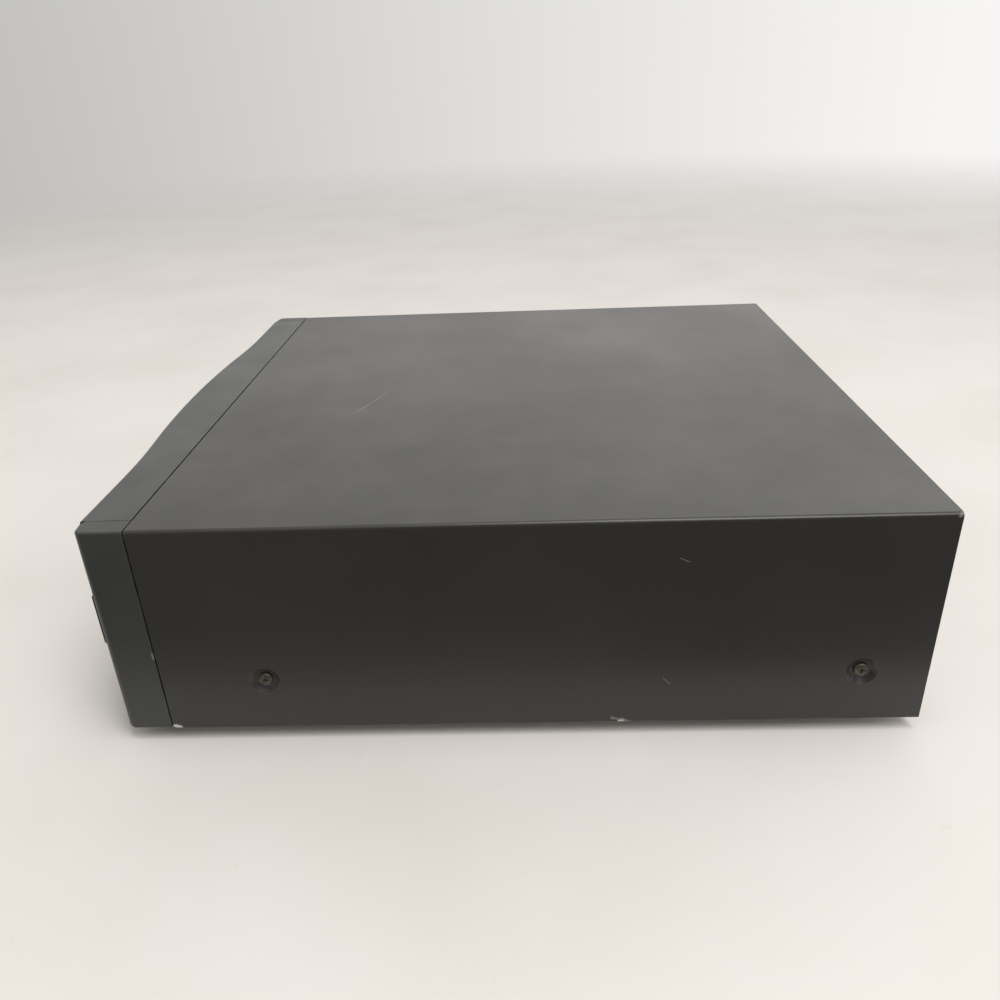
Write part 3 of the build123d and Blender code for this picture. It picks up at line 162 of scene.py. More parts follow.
card_material, tree, shader = new_material("dark_card")
nap = put(tree, "ShaderNodeTexNoise", {"Scale": 60.0}).outputs["Fac"]
card_colour = blend_colour(tree, nap, (0.015, 0.015, 0.016), (0.03, 0.03, 0.03))
tree.links.new(card_colour, shader.inputs["Base Color"])
card_end = 3.2
card_near = 0.27
card_far = 2.2
card_lift = 0.004
card_foot = 0.05
card_top = 2.1
card_corners = {
    "standing_card": [(card_far, -card_end, card_foot), (card_far, card_end, card_foot),
                      (card_far, card_end, card_top), (card_far, -card_end, card_top)],
    "lying_card": [(card_near, -card_end, card_lift), (card_far, -card_end, card_lift),
                   (card_far, card_end, card_lift), (card_near, card_end, card_lift)],
}
for name, corners in card_corners.items():
    card_mesh = bpy.data.meshes.new(name)
    shape = bmesh.new()
    shape.faces.new([shape.verts.new(corner) for corner in corners])
    shape.to_mesh(card_mesh)
    shape.free()
    card_mesh.materials.append(card_material)
    card = bpy.data.objects.new(name, card_mesh)
    for shown in ("visible_camera", "visible_diffuse", "visible_shadow", "visible_transmission"):
        setattr(card, shown, False)
    scene.collection.objects.link(card)

lamp = bpy.data.objects.new("soft_lamp", bpy.data.lights.new("soft_lamp", "AREA"))
lamp.data.shape = "RECTANGLE"
lamp.data.size = 0.9
lamp.data.size_y = 2.4
lamp.data.energy = 46.0
lamp.data.color = (1.0, 0.985, 0.965)
lamp_place = Vector((0.80, 0.60, 2.3))
lamp.location = lamp_place
lamp.rotation_euler = lamp_place.to_track_quat("Z", "Y").to_euler()
scene.collection.objects.link(lamp)

# ------------------------------------------------------------------ cover
# One steel sheet folded down over both sides, sprayed with fine-grained satin black paint.
# It carries the marks of use: hairline scratches, rubbed patches, chips along its lower edge.
mm = 0.001


def new_group(name, inputs, outputs):
    """Shader node group with named sockets."""
    kinds = {float: "NodeSocketFloat", tuple: "NodeSocketVector"}
    group = bpy.data.node_groups.new(name, "ShaderNodeTree")
    for label, value in inputs.items():
        socket = group.interface.new_socket(label, in_out="INPUT", socket_type=kinds[type(value)])
        socket.default_value = value
    for label in outputs:
        group.interface.new_socket(label, in_out="OUTPUT", socket_type="NodeSocketFloat")
    return group, group.nodes.new("NodeGroupInput").outputs, group.nodes.new("NodeGroupOutput").inputs


def work_out(tree, operation, *terms, held=False):
    """One sum with plain values; a held result stays between 0 and 1."""
    terms = dict(enumerate(terms))
    return put(tree, "ShaderNodeMath", terms, operation=operation, use_clamp=held).outputs[0]


def work_out_vector(tree, operation, first, second, result="Vector"):
    """One sum with two vectors, or with a vector and a scale."""
    socket = "Scale" if operation == "SCALE" else 1
    terms = {0: first, socket: second}
    return put(tree, "ShaderNodeVectorMath", terms, operation=operation).outputs[result]


surface_grain, given, result = new_group(
    "surface_grain", {"Grain Scale": 900.0, "Blotch Scale": 9.0, "Stretch": (1.0, 1.0, 1.0)},
    ["Grain", "Blotch"])
place = own_place(surface_grain)
pulled = work_out_vector(surface_grain, "MULTIPLY", place, given["Stretch"])
surface_grain.links.new(noise(surface_grain, pulled, given["Grain Scale"], 3.0), result["Grain"])
surface_grain.links.new(noise(surface_grain, place, given["Blotch Scale"], 5.0), result["Blotch"])

edge_wear, given, result = new_group(
    "edge_wear", {"Width": 0.0006, "Amount": 0.5, "Patch Scale": 60.0}, ["Wear"])
rounded = put(edge_wear, "ShaderNodeBevel", {"Radius": given["Width"]}, samples=4).outputs[0]
facing = put(edge_wear, "ShaderNodeNewGeometry").outputs["Normal"]
likeness = work_out_vector(edge_wear, "DOT_PRODUCT", rounded, facing, "Value")
near_edge = spread(edge_wear, likeness, 0.99, 0.86)
patches = noise(edge_wear, own_place(edge_wear), given["Patch Scale"], 4.0)
rubbed = work_out(edge_wear, "MULTIPLY", near_edge, spread(edge_wear, patches, 0.42, 0.66))
rubbed = work_out(edge_wear, "MULTIPLY", rubbed, given["Amount"])
edge_wear.links.new(rubbed, result["Wear"])

settled_dust, given, result = new_group("settled_dust", {"Amount": 0.1, "Scale": 40.0}, ["Dust"])
facing = put(settled_dust, "ShaderNodeNewGeometry").outputs["Normal"]
upward = put(settled_dust, "ShaderNodeSeparateXYZ", {0: facing}).outputs["Z"]
upward = spread(settled_dust, upward, 0.2, 1.0)
drift = noise(settled_dust, own_place(settled_dust), given["Scale"], 6.0)
drift = spread(settled_dust, drift, 0.35, 0.75)
lying = work_out(settled_dust, "MULTIPLY", upward, drift)
lying = work_out(settled_dust, "MULTIPLY", lying, given["Amount"])
settled_dust.links.new(lying, result["Dust"])

drawn_scratch, given, result = new_group(
    "drawn_scratch",
    {"Start": (0.0, 0.0, 0.0), "End": (0.01, 0.0, 0.0), "Width": 0.0004, "Unevenness": 0.5, "Amount": 1.0},
    ["Mark"])
place = own_place(drawn_scratch)
from_start = work_out_vector(drawn_scratch, "SUBTRACT", place, given["Start"])
run = work_out_vector(drawn_scratch, "SUBTRACT", given["End"], given["Start"])
along = work_out_vector(drawn_scratch, "DOT_PRODUCT", from_start, run, "Value")
whole = work_out_vector(drawn_scratch, "DOT_PRODUCT", run, run, "Value")
share = work_out(drawn_scratch, "DIVIDE", along, whole, held=True)
nearest = work_out_vector(drawn_scratch, "SCALE", run, share)
gap = work_out_vector(drawn_scratch, "DISTANCE", from_start, nearest, "Value")
shifted = spread(drawn_scratch, noise(drawn_scratch, place, 260.0, 3.0), 0.3, 0.7, 0.0, 2.0)
uneven = put(drawn_scratch, "ShaderNodeMix", {0: given["Unevenness"], 2: 1.0, 3: shifted}).outputs[0]
reach = work_out(drawn_scratch, "MULTIPLY", given["Width"], uneven)
closeness = work_out(drawn_scratch, "DIVIDE", gap, reach)
stroke = spread(drawn_scratch, closeness, 1.0, 0.55)
stroke = work_out(drawn_scratch, "MULTIPLY", stroke, given["Amount"])
drawn_scratch.links.new(stroke, result["Mark"])

dust_grey = (0.30, 0.29, 0.27)
mottled = (0.3, 0.7)
shinier = 0.05
duller = 0.06


def placed(tree, group, **values):
    """Put a node group into a material with its own values."""
    node = put(tree, "ShaderNodeGroup", node_tree=group)
    for label, value in values.items():
        node.inputs[label.replace("_", " ")].default_value = value
    return node


def roughen(tree, shader, height, depth):
    """Raise fine relief on a material."""
    bump = put(tree, "ShaderNodeBump", {"Height": height, "Distance": depth})
    tree.links.new(bump.outputs[0], shader.inputs["Normal"])


def finish(name, colour, roughness, metallic=0.0, grain=900.0, grain_depth=0.00002, blotch=9.0,
           tone=0.15, stretch=(1.0, 1.0, 1.0), worn=None, wear=0.5, wear_width=0.0005, dust=0.06):
    """Material with grain, uneven tone, rubbed edges and settled dust."""
    material, tree, shader = new_material(name)
    shader.inputs["Metallic"].default_value = metallic
    texture = placed(tree, surface_grain, Grain_Scale=grain, Blotch_Scale=blotch, Stretch=stretch).outputs
    darker = tuple(value * (1 - tone) for value in colour)
    lighter = tuple(min(1.0, value * (1 + tone)) for value in colour)
    toned = blend_colour(tree, spread(tree, texture["Blotch"], *mottled), darker, lighter)
    if worn:
        rubbed = placed(tree, edge_wear, Width=wear_width, Amount=wear)
        toned = blend_colour(tree, rubbed.outputs["Wear"], toned, worn)
    lying = placed(tree, settled_dust, Amount=dust)
    toned = blend_colour(tree, lying.outputs["Dust"], toned, dust_grey)
    tree.links.new(toned, shader.inputs["Base Color"])
    sheen = spread(tree, texture["Blotch"], *mottled, roughness - shinier, roughness + duller)
    tree.links.new(sheen, shader.inputs["Roughness"])
    roughen(tree, shader, texture["Grain"], grain_depth)
    return material


def dress(material, *names):
    """Give CAD nodes a material."""
    for name in names:
        nodes[name].data.materials.clear()
        nodes[name].data.materials.append(material)


def lay_over(material, share, colour):
    """Blend a colour over the one that a material already has."""
    tree = material.node_tree
    base = tree.nodes["Principled BSDF"].inputs["Base Color"]
    tree.links.new(blend_colour(tree, share, base.links[0].from_socket, colour), base)


def stroke_on(material, colour, strokes):
    """Lay scratches, scuffs and chips of one colour over a material; places are in millimetres."""
    for start, end, width, unevenness, amount in strokes:
        start = tuple(value * mm for value in start)
        end = tuple(value * mm for value in end)
        mark = placed(material.node_tree, drawn_scratch, Start=start, End=end, Width=width * mm,
                      Unevenness=unevenness, Amount=amount)
        lay_over(material, mark.outputs["Mark"], colour)


cover_paint = finish("cover_paint", (0.027, 0.0265, 0.0255), 0.35, grain=1500.0, grain_depth=0.00003,
                     blotch=7.0, tone=0.10, worn=(0.20, 0.19, 0.18), wear=0.45, wear_width=0.0007,
                     dust=0.05)
light_scratches = [
    ((48.8, -105.5, 140), (8.9, -89.5, 140), 0.45, 0.9, 0.75),
    ((217.5, 90.2, 117.3), (217.5, 95.5, 114.8), 0.35, 0.5, 0.6),
    ((217.5, 85.0, 39.6), (217.5, 89.1, 35.3), 0.4, 0.5, 0.7),
    ((217.5, 57.0, 11.5), (217.5, 68.6, 9.0), 1.1, 0.95, 0.9),
    ((150.0, -14.0, 140), (141.0, 3.0, 140), 0.25, 0.9, 0.35),
    ((217.5, 229.6, 138.6), (216.0, 231.0, 139.6), 1.3, 0.6, 0.8),
    ((-217.5, -60.0, 88.0), (-217.5, -34.0, 92.0), 0.3, 0.8, 0.5),
    ((-217.5, 120.0, 9.5), (-217.5, 131.0, 9.2), 0.9, 0.9, 0.8),
]
dark_scuffs = [
    ((8.9, -89.5, 140), (-29.6, -81.7, 140), 0.3, 0.7, 0.5),
    ((-29.6, -81.7, 140), (-62.0, -75.1, 140), 0.45, 0.7, 0.55),
    ((83.1, -91.0, 140), (66.5, -73.4, 140), 0.9, 0.9, 0.6),
    ((-24.6, 102.0, 140), (-35.8, 114.9, 140), 1.2, 0.9, 0.6),
    ((138.0, 125.3, 140), (126.0, 148.6, 140), 0.35, 0.6, 0.5),
    ((126.0, 148.6, 140), (118.2, 171.5, 140), 0.35, 0.6, 0.5),
    ((133.5, 55.2, 140), (134.6, 72.9, 140), 0.3, 0.9, 0.4),
    ((9.0, -167.5, 140), (9.0, -163.5, 140), 0.9, 0.8, 0.5),
]
bare_chips = [
    ((217.5, -199.3, 10.4), (217.5, -195.5, 9.2), 1.3, 0.5, 0.95),
    ((217.5, 61.0, 9.4), (217.5, 63.0, 9.2), 1.0, 0.7, 0.8),
]
stroke_on(cover_paint, (0.17, 0.165, 0.15), light_scratches)
stroke_on(cover_paint, (0.008, 0.008, 0.009), dark_scuffs)
stroke_on(cover_paint, (0.55, 0.54, 0.50), bare_chips)
dress(cover_paint, "top_cover")

# ------------------------------------------------------------------ cover and panel screws
# Pan-head machine screws with a cross recess, nickel-plated and gone dull and brownish with age.
# Four hold the cover in its pressed dishes, six the rear panel.
screw_nickel = finish("dull_nickel", (0.120, 0.105, 0.088), 0.46, metallic=0.8, grain=2600.0,
                      grain_depth=0.00004, blotch=420.0, tone=0.5, worn=(0.34, 0.32, 0.28), wear=0.8,
                      wear_width=0.0004, dust=0.08)
dress(screw_nickel, "case_screws")

# ------------------------------------------------------------------ front moulding and end cheeks
# Injection-moulded styrene in satin charcoal: a bulging front and two separate end pieces.
# The moulding has a finer grain than the paint of the cover and a slightly green cast.
front_plastic = finish("front_plastic", (0.028, 0.030, 0.027), 0.36, grain=2300.0, grain_depth=0.000018,
                       blotch=14.0, tone=0.10, worn=(0.12, 0.12, 0.115), wear=0.4, wear_width=0.0008,
                       dust=0.05)
cheek_plastic = finish("cheek_plastic", (0.036, 0.039, 0.035), 0.44, grain=2300.0, grain_depth=0.000018,
                       blotch=16.0, tone=0.12, worn=(0.15, 0.15, 0.145), wear=0.55, wear_width=0.0008,
                       dust=0.05)
# The short pale mark near the back of the side is a rub; the long pale line down the rounded front corner
# is a painted highlight.
stroke_on(cheek_plastic, (0.16, 0.16, 0.15), [
    ((217.5, -201.2, 62.0), (217.5, -200.8, 58.5), 0.8, 0.5, 0.8),
    ((216.8, -226.5, 72.0), (217.0, -226.2, 44.0), 0.5, 0.95, 0.4),
])
dress(front_plastic, "fascia", "drawer_front")
dress(cheek_plastic, "end_cheek_left", "end_cheek_right")

# ------------------------------------------------------------------ display
# Smoked acrylic window, seated from behind, with a glass display tube behind it.
# The tube's unlit segments show faintly: five disc rings, a track number and a time.
window_smoke, tree, shader = new_material("window_smoke")
shader.inputs["Transmission Weight"].default_value = 0.92
shader.inputs["IOR"].default_value = 1.49
texture = placed(tree, surface_grain, Grain_Scale=1400.0, Blotch_Scale=30.0).outputs
smoke = blend_colour(tree, texture["Blotch"], (0.20, 0.21, 0.22), (0.26, 0.27, 0.28))
tree.links.new(smoke, shader.inputs["Base Color"])
tree.links.new(spread(tree, texture["Blotch"], *mottled, 0.03, 0.08), shader.inputs["Roughness"])
roughen(tree, shader, texture["Grain"], 0.000002)
dress(window_smoke, "display_window")

tube_glass = finish("tube_glass", (0.030, 0.034, 0.036), 0.12, grain=500.0, grain_depth=0.000004,
                    blotch=60.0, tone=0.3, dust=0.02)
dress(tube_glass, "display_tube")


def prism(shape, outline, back, front, hole=None):
    """Closed flat plate from an outline in its own plane; a hole has as many corners as the outline."""
    loops = []
    for corners in (outline, hole or []):
        loops.append([[shape.verts.new((x, y, level)) for x, y in corners] for level in (back, front)])
    (low, high), (hole_low, hole_high) = loops
    count = len(low)
    for k in range(count):
        after = (k + 1) % count
        shape.faces.new((low[k], low[after], high[after], high[k]))
        if hole:
            shape.faces.new((hole_low[after], hole_low[k], hole_high[k], hole_high[after]))
            shape.faces.new((high[k], high[after], hole_high[after], hole_high[k]))
            shape.faces.new((low[after], low[k], hole_low[k], hole_low[after]))
    if not hole:
        shape.faces.new(high)
        shape.faces.new(low[::-1])


def circle(x, y, radius, count=28, start=0.0, turn=2 * math.pi):
    """Corners of a circle, or of a part of one."""
    angles = [start + turn * k / count for k in range(count)]
    return [(x + radius * math.cos(angle), y + radius * math.sin(angle)) for angle in angles]


def piece(name, shape, body, material, smooth=False):
    """Turn finished mesh work into a piece that rides on a body."""
    bmesh.ops.recalc_face_normals(shape, faces=shape.faces[:])
    mesh = bpy.data.meshes.new(name)
    shape.to_mesh(mesh)
    shape.free()
    made = bpy.data.objects.new(name, mesh)
    scene.collection.objects.link(made)
    if smooth:
        mesh.shade_smooth()
    made.data.materials.append(material)
    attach(made, body)
    return made


def set_up(shape, place, turn):
    """Turn mesh work that was drawn flat, and move it to its place."""
    bmesh.ops.transform(shape, verts=shape.verts[:], matrix=Matrix.Translation(place) @ turn)


facing_front = Matrix.Rotation(math.radians(90), 4, "X")
segment_coating = finish("segment_coating", (0.24, 0.30, 0.27), 0.55, grain=1800.0, grain_depth=0.00001,
                         blotch=200.0, tone=0.2, dust=0.0)
ink_thickness = 0.1 * mm
digit_places = (-14, -6, 14, 22, 34, 42)
disc_ring_places = (-60, -51, -42, -33, -24)
disc_ring_outer = 3.4 * mm
disc_ring_inner = 2.6 * mm
disc_dot = 0.7 * mm
colon_x = 31.2 * mm
colon_dot = 0.6 * mm
digit_lean = 0.12
segment_gap = 0.7
digit_width = 5.2 * mm
digit_height = 10.0 * mm
segment_width = 0.9 * mm
tube_front = -217.0 * mm
window_middle_z = 121.0 * mm
segment_lines = {
    "a": ((0, 2), (1, 2)), "b": ((1, 1), (1, 2)), "c": ((1, 0), (1, 1)), "d": ((0, 0), (1, 0)),
    "e": ((0, 0), (0, 1)), "f": ((0, 1), (0, 2)), "g": ((0, 1), (1, 1)),
}
shape = bmesh.new()
for digit_x in digit_places:
    for start, end in segment_lines.values():
        ends = [Vector((digit_x * mm + x * digit_width, (y - 1) * digit_height / 2))
                for x, y in (start, end)]
        run = (ends[1] - ends[0]).normalized()
        side = Vector((-run.y, run.x)) * segment_width / 2
        near = ends[0] + run * segment_width * segment_gap
        far = ends[1] - run * segment_width * segment_gap
        outline = [near - side, near - run * segment_width / 2, near + side,
                   far + side, far + run * segment_width / 2, far - side]
        leaned = [(point.x + point.y * digit_lean, point.y) for point in outline]
        prism(shape, leaned, 0.0, ink_thickness)
for dot_y in (-2.0 * mm, 2.0 * mm):
    prism(shape, circle(colon_x + dot_y * digit_lean, dot_y, colon_dot, 12), 0.0, ink_thickness)
for ring_x in disc_ring_places:
    outer = circle(ring_x * mm, 0.0, disc_ring_outer)
    inner = circle(ring_x * mm, 0.0, disc_ring_inner)
    prism(shape, outer, 0.0, ink_thickness, inner)
    prism(shape, circle(ring_x * mm, 0.0, disc_dot, 16), 0.0, ink_thickness)
set_up(shape, (0.0, tube_front, window_middle_z), facing_front)
piece("display_segments", shape, "case", segment_coating)

# ------------------------------------------------------------------ push buttons
# Thirteen moulded caps that stand two millimetres proud, each with its sign printed in pale ink:
# numbers for the five discs, and the usual signs for play, pause, stop, skip, open and power.
button_plastic = finish("button_plastic", (0.052, 0.054, 0.052), 0.36, grain=2600.0, grain_depth=0.000014,
                        blotch=60.0, tone=0.12, worn=(0.14, 0.14, 0.135), wear=0.5, wear_width=0.0004,
                        dust=0.04)
pale_ink = finish("pale_ink", (0.52, 0.52, 0.50), 0.55, grain=1600.0, grain_depth=0.00001, blotch=300.0,
                  tone=0.12, dust=0.0)
button_bodies = {
    "power_button": "power_key", "disc_skip_button": "disc_skip_key", "open_close_button": "open_close_key",
    "play_button": "play_key", "pause_button": "pause_key", "stop_button": "stop_key",
    "previous_button": "previous_key", "next_button": "next_key",
}
for number in range(1, 6):
    button_bodies[f"disc_button_{number}"] = f"disc_key_{number}"
dress(button_plastic, *button_bodies)
weld_distance = 1e-7


def lettering(shape, text, size, x, y):
    """Add raised letters, centred on a point of the plane, to mesh work."""
    curve = bpy.data.curves.new("letters", "FONT")
    curve.body = text
    curve.size = size
    curve.align_x = "CENTER"
    curve.align_y = "CENTER"
    curve.extrude = ink_thickness / 2
    curve.resolution_u = 4
    holder = bpy.data.objects.new("letters", curve)
    scene.collection.objects.link(holder)
    bpy.context.view_layer.update()
    worked_out = holder.evaluated_get(bpy.context.evaluated_depsgraph_get())
    letters = bpy.data.meshes.new_from_object(worked_out)
    letters.transform(Matrix.Translation((x, y, ink_thickness / 2)))
    shape.from_mesh(letters)
    bmesh.ops.remove_doubles(shape, verts=shape.verts[:], dist=weld_distance)
    bpy.data.objects.remove(holder)
    bpy.data.curves.remove(curve)
    bpy.data.meshes.remove(letters)


def triangle(x, y, size, heading=1):
    """Corners of an arrow head that points along X."""
    return [(x - heading * size * 0.5, y - size * 0.6), (x + heading * size * 0.6, y),
            (x - heading * size * 0.5, y + size * 0.6)]


def bar(x, y, width, height):
    """Corners of an upright bar."""
    return [(x - width / 2, y - height / 2), (x + width / 2, y - height / 2),
            (x + width / 2, y + height / 2), (x - width / 2, y + height / 2)]


signs = {
    "play_button": [triangle(0, 0, 5)],
    "pause_button": [bar(-1.4, 0, 1.5, 5), bar(1.4, 0, 1.5, 5)],
    "stop_button": [bar(0, 0, 4.4, 4.4)],
    "previous_button": [bar(-4.2, 0, 0.8, 3.8), triangle(-1.8, 0, 3.2, -1), triangle(1.9, 0, 3.2, -1)],
    "next_button": [bar(4.2, 0, 0.8, 3.8), triangle(1.8, 0, 3.2), triangle(-1.9, 0, 3.2)],
    "open_close_button": [[(-2.6, -0.4), (2.6, -0.4), (0, 2.2)], bar(0, -1.6, 5.2, 0.9)],
    "disc_skip_button": [triangle(2.2, 0, 3.0), triangle(5.6, 0, 3.0)],
    "power_button": [bar(0, 1.6, 0.8, 3.0)],
}
sign_lift = 0.03 * mm
number_size = 5.6 * mm
skip_disc_x = -3.6 * mm
skip_disc_outer = 2.5 * mm
skip_disc_inner = 1.7 * mm
power_ring_y = -0.2 * mm
power_ring_outer = 2.7 * mm
power_ring_inner = 1.9 * mm
power_ring_opening = math.radians(64)
for name, body in button_bodies.items():
    low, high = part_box(name)
    shape = bmesh.new()
    if name.startswith("disc_button"):
        lettering(shape, name[-1], number_size, 0.0, 0.0)
    for outline in signs.get(name, []):
        prism(shape, [(x * mm, y * mm) for x, y in outline], 0.0, ink_thickness)
    if name == "disc_skip_button":
        outer = circle(skip_disc_x, 0.0, skip_disc_outer)
        inner = circle(skip_disc_x, 0.0, skip_disc_inner)
        prism(shape, outer, 0.0, ink_thickness, inner)
    if name == "power_button":
        start = math.radians(90) + power_ring_opening / 2
        turn = 2 * math.pi - power_ring_opening
        outer = circle(0.0, power_ring_y, power_ring_outer, 24, start, turn)
        inner = circle(0.0, power_ring_y, power_ring_inner, 24, start, turn)
        prism(shape, outer + inner[::-1], 0.0, ink_thickness)
    cap_face = ((low.x + high.x) / 2, low.y - sign_lift, (low.z + high.z) / 2)
    set_up(shape, cap_face, facing_front)
    piece(f"{name}_sign", shape, body, pale_ink)

# ------------------------------------------------------------------ level knob and headphone socket
# Turned-looking moulded knob with a fine grip ring; round it a scale of printed ticks on the front.
# The socket beside it has a moulded collar and a dark bore.
knob_centre = Vector((-148.0 * mm, 0.0, 34.0 * mm))
dress(button_plastic, "level_knob")
shape = bmesh.new()
rib_count = 40
steps = rib_count * 6
grip_profile = ((-231.5, 9.9, 0.0), (-231.5, 10.05, 0.0), (-232.2, 10.1, 0.28),
                (-237.4, 10.1, 0.28), (-238.1, 10.05, 0.0), (-238.1, 9.9, 0.0))
grip_rows = []
for depth, radius, swell in grip_profile:
    row = []
    for k in range(steps):
        angle = 2 * math.pi * k / steps
        reach = (radius + swell * max(0.0, math.cos(rib_count * angle))) * mm
        row.append(shape.verts.new((knob_centre.x + reach * math.cos(angle), depth * mm,
                                    knob_centre.z + reach * math.sin(angle))))
    grip_rows.append(row)
for row, after in zip(grip_rows, grip_rows[1:] + grip_rows[:1]):
    for k in range(steps):
        shape.faces.new((row[k], row[(k + 1) % steps], after[(k + 1) % steps], after[k]))
piece("knob_grip", shape, "knob", button_plastic, smooth=True)

socket_plastic = finish("socket_plastic", (0.030, 0.030, 0.031), 0.42, grain=1800.0, grain_depth=0.00002,
                        blotch=80.0, tone=0.2, worn=(0.12, 0.12, 0.12), wear=0.4, dust=0.05)
dress(socket_plastic, "headphone_jack")

front_face = -228.7 * mm
ink_sunk = 0.04 * mm
tick_count = 11
tick_step = 30
tick_start = 12.2 * mm
tick_half_width = 0.22 * mm
long_tick = 2.2 * mm
short_tick = 1.3 * mm
shape = bmesh.new()
for tick in range(tick_count):
    angle = math.radians(90 + (tick - tick_count // 2) * tick_step)
    along = Vector((math.cos(angle), math.sin(angle)))
    across = Vector((-along.y, along.x)) * tick_half_width
    inner = along * tick_start
    outer = along * (tick_start + (long_tick if tick % 5 == 0 else short_tick))
    corners = [inner - across, outer - across, outer + across, inner + across]
    outline = [(knob_centre.x + corner.x, knob_centre.z + corner.y) for corner in corners]
    prism(shape, outline, 0.0, ink_thickness)
set_up(shape, (0.0, front_face + ink_sunk, 0.0), facing_front)
piece("level_scale", shape, "case", pale_ink)

# ------------------------------------------------------------------ rear panel, sockets and mains inlet
# Black-painted steel panel with moulded socket blocks behind it: a pair of signal sockets,
# an optical socket, a remote-control socket and an inlet for the mains lead.
panel_paint = finish("panel_paint", (0.050, 0.050, 0.050), 0.46, grain=1500.0, grain_depth=0.00003,
                     blotch=9.0, tone=0.12, worn=(0.30, 0.29, 0.28), wear=0.6, wear_width=0.0005,
                     dust=0.05)
dress(panel_paint, "rear_panel")
dress(socket_plastic, "mains_inlet")


def measured(tree, axis, level, side=1):
    """Mask that turns from 0 to 1 where the place on the piece passes a level."""
    distance = put(tree, "ShaderNodeSeparateXYZ", {0: own_place(tree)}).outputs[axis]
    return spread(tree, distance, level - side * mask_blur, level + side * mask_blur)


mask_blur = 0.05 * mm
panel_face = 230.2 * mm
socket_face = 231.4 * mm
jack_metal = finish("jack_metal", (0.46, 0.45, 0.42), 0.25, metallic=1.0, grain=1200.0, grain_depth=0.00001,
                    blotch=180.0, tone=0.2, worn=(0.6, 0.58, 0.5), wear=0.5, dust=0.06)
tree = jack_metal.node_tree
shader = tree.nodes["Principled BSDF"]
barrel = measured(tree, "Y", socket_face)
metal = shader.inputs["Base Color"].links[0].from_socket
tree.links.new(blend_colour(tree, barrel, (0.03, 0.03, 0.032), metal), shader.inputs["Base Color"])
tree.links.new(barrel, shader.inputs["Metallic"])
dress(jack_metal, "rear_jacks")

facing_rear = Matrix.Rotation(math.radians(180), 4, "Z") @ facing_front
ring_colours = {"left": (135.0 * mm, (0.62, 0.61, 0.58)), "right": (149.0 * mm, (0.42, 0.035, 0.03))}
ring_outer = 5.0 * mm
ring_inner = 4.25 * mm
ring_thickness = 0.6 * mm
sockets_z = 34.0 * mm
letters_z = 44.5 * mm
letter_size = 5.0 * mm
for side, (ring_x, colour) in ring_colours.items():
    ring_plastic = finish(f"signal_ring_{side}", colour, 0.4, grain=1500.0, grain_depth=0.00001,
                          blotch=150.0, tone=0.08, dust=0.03)
    shape = bmesh.new()
    prism(shape, circle(0.0, 0.0, ring_outer, 48), 0.0, ring_thickness, circle(0.0, 0.0, ring_inner, 48))
    set_up(shape, (ring_x, socket_face, sockets_z), facing_rear)
    piece(f"signal_ring_{side}", shape, "case", ring_plastic)
shape = bmesh.new()
for side, (ring_x, colour) in ring_colours.items():
    lettering(shape, side[0].upper(), letter_size, -ring_x, 0.0)
set_up(shape, (0.0, panel_face - ink_sunk, letters_z), facing_rear)
piece("signal_letters", shape, "case", pale_ink)

# ------------------------------------------------------------------ steel chassis
# Folded from zinc-plated sheet: floor tray, side brackets and the bridge over the drawer.
# The plating shows faint crystals and wipe marks. The frame behind the front is painted black, which also
# serves as painted shade in the gap between cover and front.
plated_steel = finish("plated_steel", (0.42, 0.42, 0.41), 0.34, metallic=0.9, grain=420.0,
                      grain_depth=0.000012, blotch=26.0, tone=0.16, stretch=(1.0, 1.0, 6.0),
                      worn=(0.60, 0.60, 0.58), wear=0.5, dust=0.12)
dress(plated_steel, "bottom_chassis", "side_brackets", "clamp_bridge")
# Black paint on the frame is also painted shade: it darkens the gap between cover and front.
dress(panel_paint, "front_frame")

# ------------------------------------------------------------------ feet
# Four moulded feet, pushed into the floor tray, with soft rubber pads underneath.
foot_plastic = finish("foot_plastic", (0.032, 0.032, 0.033), 0.5, grain=1400.0, grain_depth=0.00003,
                      blotch=50.0, tone=0.15, worn=(0.11, 0.11, 0.11), wear=0.5, dust=0.12)
foot_rubber = finish("foot_rubber", (0.025, 0.024, 0.023), 0.85, grain=700.0, grain_depth=0.00006,
                     blotch=90.0, tone=0.3, worn=(0.10, 0.095, 0.09), wear=0.6, dust=0.2)
dress(foot_plastic, "feet")
dress(foot_rubber, "foot_pads")

# ------------------------------------------------------------------ drawer and platter
# Deep moulded tray on side runners, and the turning platter with its five disc wells.
# The wells are numbered in raised figures round the centre cap.
tray_plastic = finish("tray_plastic", (0.034, 0.034, 0.035), 0.46, grain=1100.0, grain_depth=0.00004,
                      blotch=12.0, tone=0.15, worn=(0.11, 0.11, 0.11), wear=0.4, dust=0.16)
platter_plastic = finish("platter_plastic", (0.040, 0.040, 0.041), 0.40, grain=1300.0, grain_depth=0.00003,
                         blotch=14.0, tone=0.14, worn=(0.13, 0.13, 0.13), wear=0.45, dust=0.14)
dress(tray_plastic, "drawer_tray", "drawer_rails", "loading_deck", "pickup_cradle", "lift_slider")
dress(platter_plastic, "carousel_platter", "platter_ring", "platter_cap")
platter_centre = Vector((0.0, -44.0 * mm, 84.0 * mm))
well_count = 5
figures_radius = 32.0 * mm
figure_size = 9.0 * mm
figure_relief = 3.0
shape = bmesh.new()
for well in range(well_count):
    figure = bmesh.new()
    lettering(figure, str(well + 1), figure_size, 0.0, 0.0)
    heading = math.radians(90 + 360 / well_count * well)
    spot = platter_centre + Vector((math.cos(heading), math.sin(heading), 0.0)) * figures_radius
    turn = Matrix.Rotation(heading + math.radians(90), 4, "Z") @ Matrix.Scale(figure_relief, 4, (0, 0, 1))
    set_up(figure, spot, turn)
    loose = bpy.data.meshes.new("figure")
    figure.to_mesh(loose)
    figure.free()
    shape.from_mesh(loose)
    bpy.data.meshes.remove(loose)
piece("well_numbers", shape, "platter", pale_ink)

